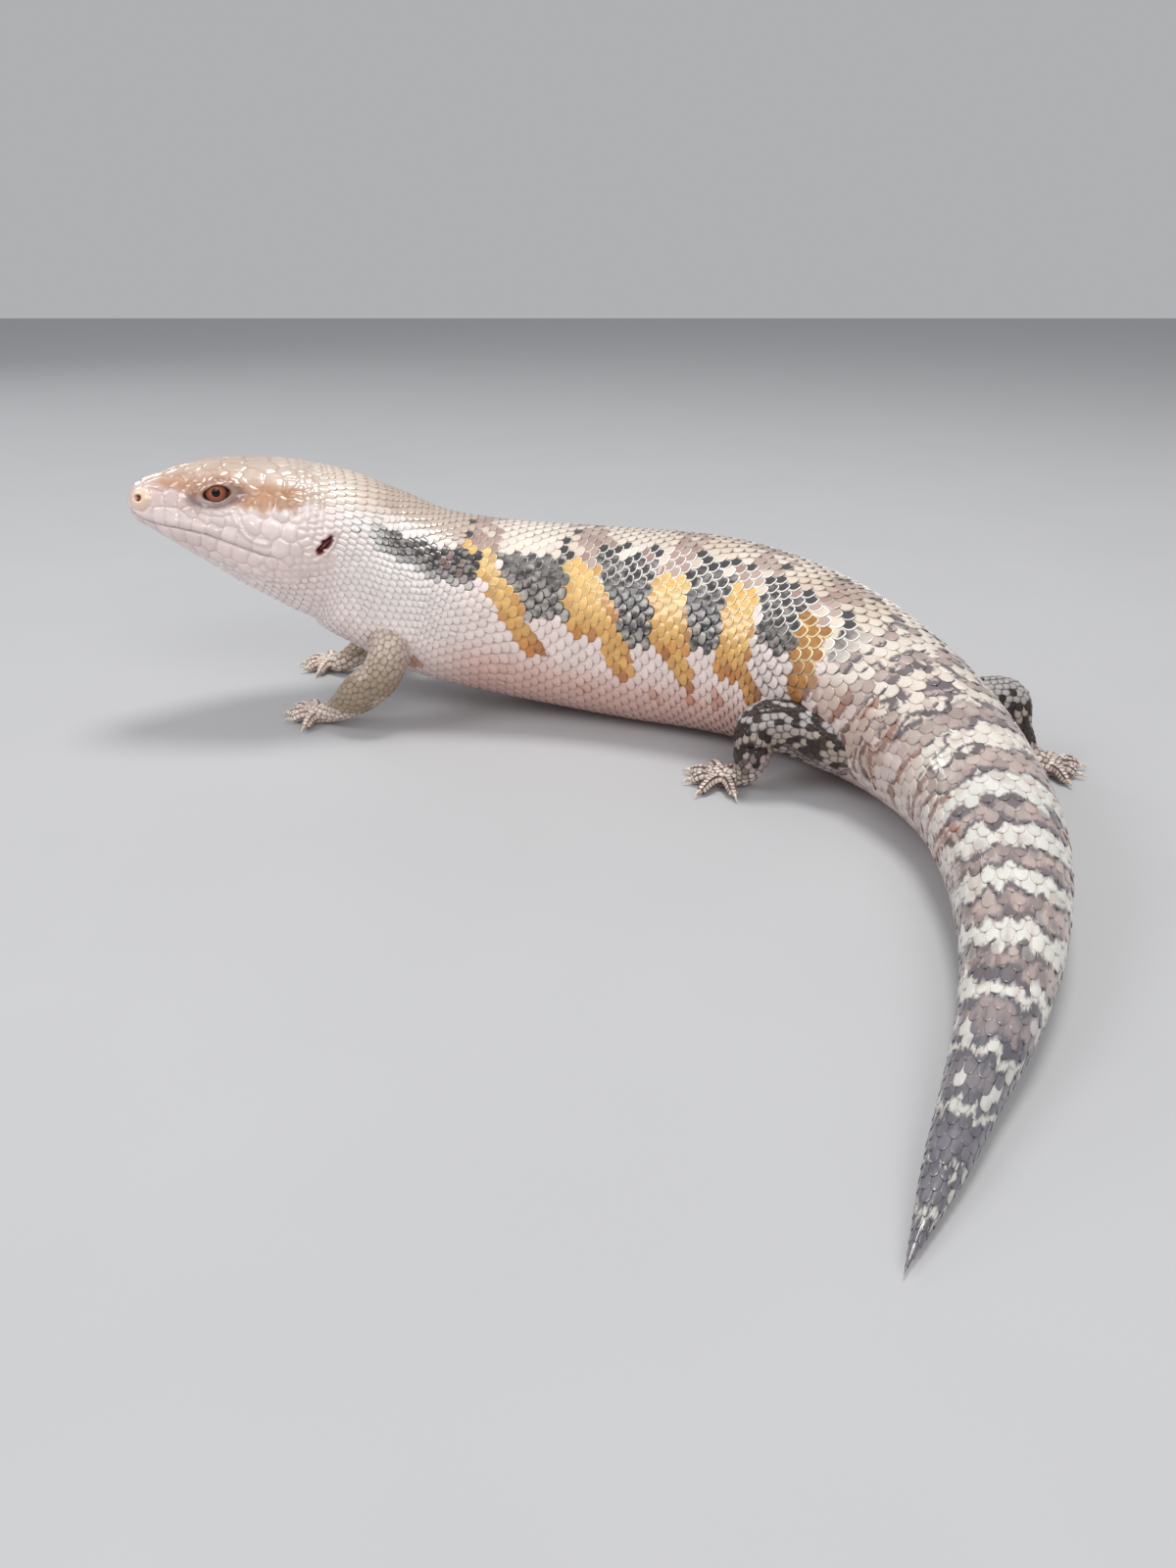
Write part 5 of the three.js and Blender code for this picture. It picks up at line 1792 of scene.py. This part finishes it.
def eye_ball(side):
    """An eyeball with its colours laid round the way it looks, bulging a little in front."""
    name = "left" if side < 0 else "right"
    centre = head_point(EYE["back"], side * EYE["side"], EYE["up"])
    gaze = unit(HEAD_RIGHT * side + HEAD_UP * 0.10 - HEAD_BACK * 0.06)
    a = unit(np.cross(gaze, HEAD_UP))
    b = np.cross(gaze, a)
    turn = np.arange(EYE_SIDES) / EYE_SIDES * 2 * math.pi
    flat = np.outer(np.cos(turn), a) + np.outer(np.sin(turn), b)
    points = [gaze[None] * EYE["radius"]]
    for k in range(1, EYE_RINGS):
        polar = math.pi * (k / EYE_RINGS) ** 1.25
        points.append((gaze * math.cos(polar) + flat * math.sin(polar)) * EYE["radius"])
    points.append(-gaze[None] * EYE["radius"])
    points = np.concatenate(points)
    away = np.linalg.norm(points - np.outer(points @ gaze, gaze), axis=1)
    colour = eye_colours(points, away, gaze, a, b)
    bulge = 0.22 * ridge(away, 0, 2.2) * (points @ gaze > 0)
    points = points + np.outer(bulge, gaze) + centre
    i = np.arange(EYE_SIDES)
    j = (i + 1) % EYE_SIDES
    quads = []
    for start in range(1, 1 + (EYE_RINGS - 2) * EYE_SIDES, EYE_SIDES):
        after = start + EYE_SIDES
        quads.append(np.stack([start + i, after + i, after + j, start + j], 1))
    triangles = [
        np.stack([np.zeros_like(i), 1 + i, 1 + j], 1),
        np.stack([np.full_like(i, len(points) - 1), after + j, after + i], 1),
    ]
    piece = new_mesh(f"eye_{name}_ball", points, [*quads, *triangles])
    set_colour(piece, colour)
    return piece


# Materials: how rough, the clear coat over that, the fine grain, how much it changes the colour, and
# how shiny
FINISHES = {
    "skin": {
        "roughness": 0.32, "coat": 0.8, "coat_roughness": 0.06,
        "grain_scale": 1400, "grain_strength": 0.12, "variation": 0.04, "shine": 0.5,
    },
    "scales": {
        "roughness": 0.34, "coat": 0.8, "coat_roughness": 0.07,
        "grain_scale": 1800, "grain_strength": 0.10, "variation": 0.10, "shine": 0.3,
    },
    "leg scales": {
        "roughness": 0.42, "coat": 0.3, "coat_roughness": 0.12,
        "grain_scale": 1800, "grain_strength": 0.10, "variation": 0.08, "shine": 0.2,
    },
    "eye": {
        "roughness": 0.4, "coat": 0.5, "coat_roughness": 0.02,
        "grain_scale": 2500, "grain_strength": 0.0, "variation": 0.06, "shine": 0.05,
    },
}
GRAIN_DETAIL = 3
GRAIN_HEIGHT = 0.0001
ROUGHNESS_SPREAD = 0.06
HORN_DARK = srgb(190, 168, 146)
HORN_PALE = srgb(232, 218, 200)


class Material:
    """A material with a principled shader, and short ways to add and link its nodes."""

    def __init__(self, name):
        self.made = bpy.data.materials.new(name)
        self.made.use_nodes = True
        self.nodes = self.made.node_tree.nodes
        self.shader = self.nodes["Principled BSDF"]

    def node(self, kind, **values):
        """A new node. Each value goes to the input of its name, with _ for the spaces in it."""
        made = self.nodes.new(kind)
        for name, value in values.items():
            made.inputs[name.replace("_", " ")].default_value = value
        return made

    def link(self, start, out, end, into):
        """Joins an output of one node to an input of another, each given by name or number."""
        self.made.node_tree.links.new(start.outputs[out], end.inputs[into])

    def finish(self, values):
        """Sets values of the shader's own."""
        for name, value in values.items():
            self.shader.inputs[name].default_value = value
        return self.made

    def ramp(self, grain, low, high):
        """The base colour, from one to another by the grain. Both are (position, colour)."""
        ramp = self.node("ShaderNodeValToRGB")
        for element, (position, colour) in zip(ramp.color_ramp.elements, (low, high)):
            element.position = position
            element.color = (*colour, 1)
        self.link(grain, "Fac", ramp, "Fac")
        self.link(ramp, "Color", self.shader, "Base Color")


def animal_material(name):
    """Colours of the mesh with a fine grain, under a thin gloss."""
    looks = FINISHES[name]
    made = Material(name)
    colour = made.node("ShaderNodeVertexColor")
    colour.layer_name = "colour"
    place = made.node("ShaderNodeTexCoord")
    grain = made.node("ShaderNodeTexNoise", Scale=looks["grain_scale"], Detail=GRAIN_DETAIL)
    made.link(place, "Object", grain, "Vector")
    bump = made.node("ShaderNodeBump", Strength=looks["grain_strength"], Distance=GRAIN_HEIGHT)
    made.link(grain, "Fac", bump, "Height")
    made.link(bump, "Normal", made.shader, "Normal")
    variation = looks["variation"]
    shade = made.node("ShaderNodeMapRange", To_Min=1 - variation, To_Max=1 + variation)
    made.link(grain, "Fac", shade, "Value")
    tint = made.node("ShaderNodeVectorMath")
    tint.operation = "SCALE"
    made.link(colour, "Color", tint, 0)
    made.link(shade, "Result", tint, "Scale")
    made.link(tint, "Vector", made.shader, "Base Color")
    smoothest = looks["roughness"] - ROUGHNESS_SPREAD
    roughest = looks["roughness"] + ROUGHNESS_SPREAD
    rough = made.node("ShaderNodeMapRange", To_Min=smoothest, To_Max=roughest)
    made.link(grain, "Fac", rough, "Value")
    made.link(rough, "Result", made.shader, "Roughness")
    return made.finish({
        "Coat Weight": looks["coat"],
        "Coat Roughness": looks["coat_roughness"],
        "Specular IOR Level": looks["shine"],
    })


def claw_material():
    """Pale horn with soft darker streaks."""
    made = Material("horn")
    place = made.node("ShaderNodeTexCoord")
    grain = made.node("ShaderNodeTexNoise", Scale=900)
    made.link(place, "Object", grain, "Vector")
    made.ramp(grain, (0.35, HORN_DARK), (0.65, HORN_PALE))
    return made.finish({"Roughness": 0.3, "Coat Weight": 0.3})


def dress(piece, made):
    """Gives a piece its material and slot, and fixes it to the one body."""
    piece.data.materials.clear()
    piece.data.materials.append(made)
    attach(piece, "root")


# The room
FLOOR_COLOUR = srgb(182, 182, 184)
FLOOR_SIZE = 4.0


def floor():
    """A plain grey floor, very faintly mottled."""
    half = FLOOR_SIZE / 2
    corners = [(-half, -half, 0), (half, -half, 0), (half, half, 0), (-half, half, 0)]
    mesh = bpy.data.meshes.new("floor")
    mesh.from_pydata(corners, [], [(0, 1, 2, 3)])
    piece = bpy.data.objects.new("floor", mesh)
    bpy.context.scene.collection.objects.link(piece)
    made = Material("floor")
    grain = made.node("ShaderNodeTexNoise", Scale=60)
    made.ramp(grain, (0.0, FLOOR_COLOUR * 0.97), (1.0, FLOOR_COLOUR * 1.03))
    mesh.materials.append(made.finish({"Roughness": 0.8}))


# Disc lamps: where they are, what they point at, how wide, power and colour
WARM = (1.0, 0.99, 0.96)
COOL = (0.95, 0.97, 1.0)
NEUTRAL = (1, 1, 1)
LAMPS = {
    "key": ((0.1, 0.1, 1.1), (0, -0.05, 0.03), 0.38, 6.5, WARM),
    "window": ((-0.85, -0.35, 0.75), (0, 0, 0.03), 0.5, 3.4, COOL),
    "front": ((0.25, -1.0, 0.75), (0, -0.05, 0.03), 0.7, 4.6, NEUTRAL),
    "glint": ((-0.285, -0.98, 0.45), (-0.1, -0.03, 0.06), 0.1, 0.5, NEUTRAL),
    "rear": ((-0.75, 0.8, 0.6), (-0.1, 0.0, 0.07), 0.3, 1.2, NEUTRAL),
}
WORLD_STRENGTH = 0.45


def lamp(name, place, target, size, power, colour):
    """A disc lamp that points at the target."""
    light = bpy.data.lights.new(name, "AREA")
    light.shape = "DISK"
    light.size = size
    light.energy = power
    light.color = colour
    piece = bpy.data.objects.new(name, light)
    piece.location = place
    piece.rotation_euler = (Vector(target) - Vector(place)).to_track_quat("-Z", "Y").to_euler()
    bpy.context.scene.collection.objects.link(piece)


def surroundings():
    """Soft light from all round."""
    world = bpy.data.worlds.new("studio")
    world.use_nodes = True
    back = world.node_tree.nodes["Background"]
    back.inputs["Color"].default_value = (*COOL, 1)
    back.inputs["Strength"].default_value = WORLD_STRENGTH
    bpy.context.scene.world = world


def camera():
    """The camera that the photograph was taken with."""
    data = bpy.data.cameras.new("camera")
    data.sensor_fit = "HORIZONTAL"
    data.sensor_width = 36
    data.lens = CAMERA_LENS
    data.clip_start = 0.01
    piece = bpy.data.objects.new("camera", data)
    piece.location = CAMERA_PLACE
    piece.rotation_euler = (math.pi / 2 - CAMERA_PITCH, 0, 0)
    bpy.context.scene.collection.objects.link(piece)
    bpy.context.scene.camera = piece


def build():
    """Makes all pieces, gives each its material and slot, and hides the solids it replaces."""
    skin_material = animal_material("skin")
    scale_material = animal_material("scales")
    leg_material = animal_material("leg scales")
    eye_material = animal_material("eye")
    horn = claw_material()

    cover, leg_skins = skin()
    dress(cover, skin_material)
    flesh = ["head", "lower_jaw", "neck", "trunk_front", "trunk_rear", "tail_base", "tail_mid", "tail_tip"]
    for leg in LEG_SET:
        flesh += leg.nodes("upper", "lower", "foot")
    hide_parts(*flesh)
    for piece in body_scales():
        dress(piece, scale_material)
    for piece in all_leg_scales(leg_skins):
        dress(piece, leg_material)
    for leg in LEG_SET:
        piece = claws(leg)
        dress(piece, horn)
        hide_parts(*leg.nodes("claw_1", "claw_2", "claw_3", "claw_4", "claw_5"))
    for side in (-1, 1):
        piece = eye_ball(side)
        dress(piece, eye_material)
        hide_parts("eye_left" if side < 0 else "eye_right")


build()
floor()
surroundings()
for lamp_name, values in LAMPS.items():
    lamp(lamp_name, *values)
camera()
bpy.context.scene.view_settings.view_transform = "Standard"
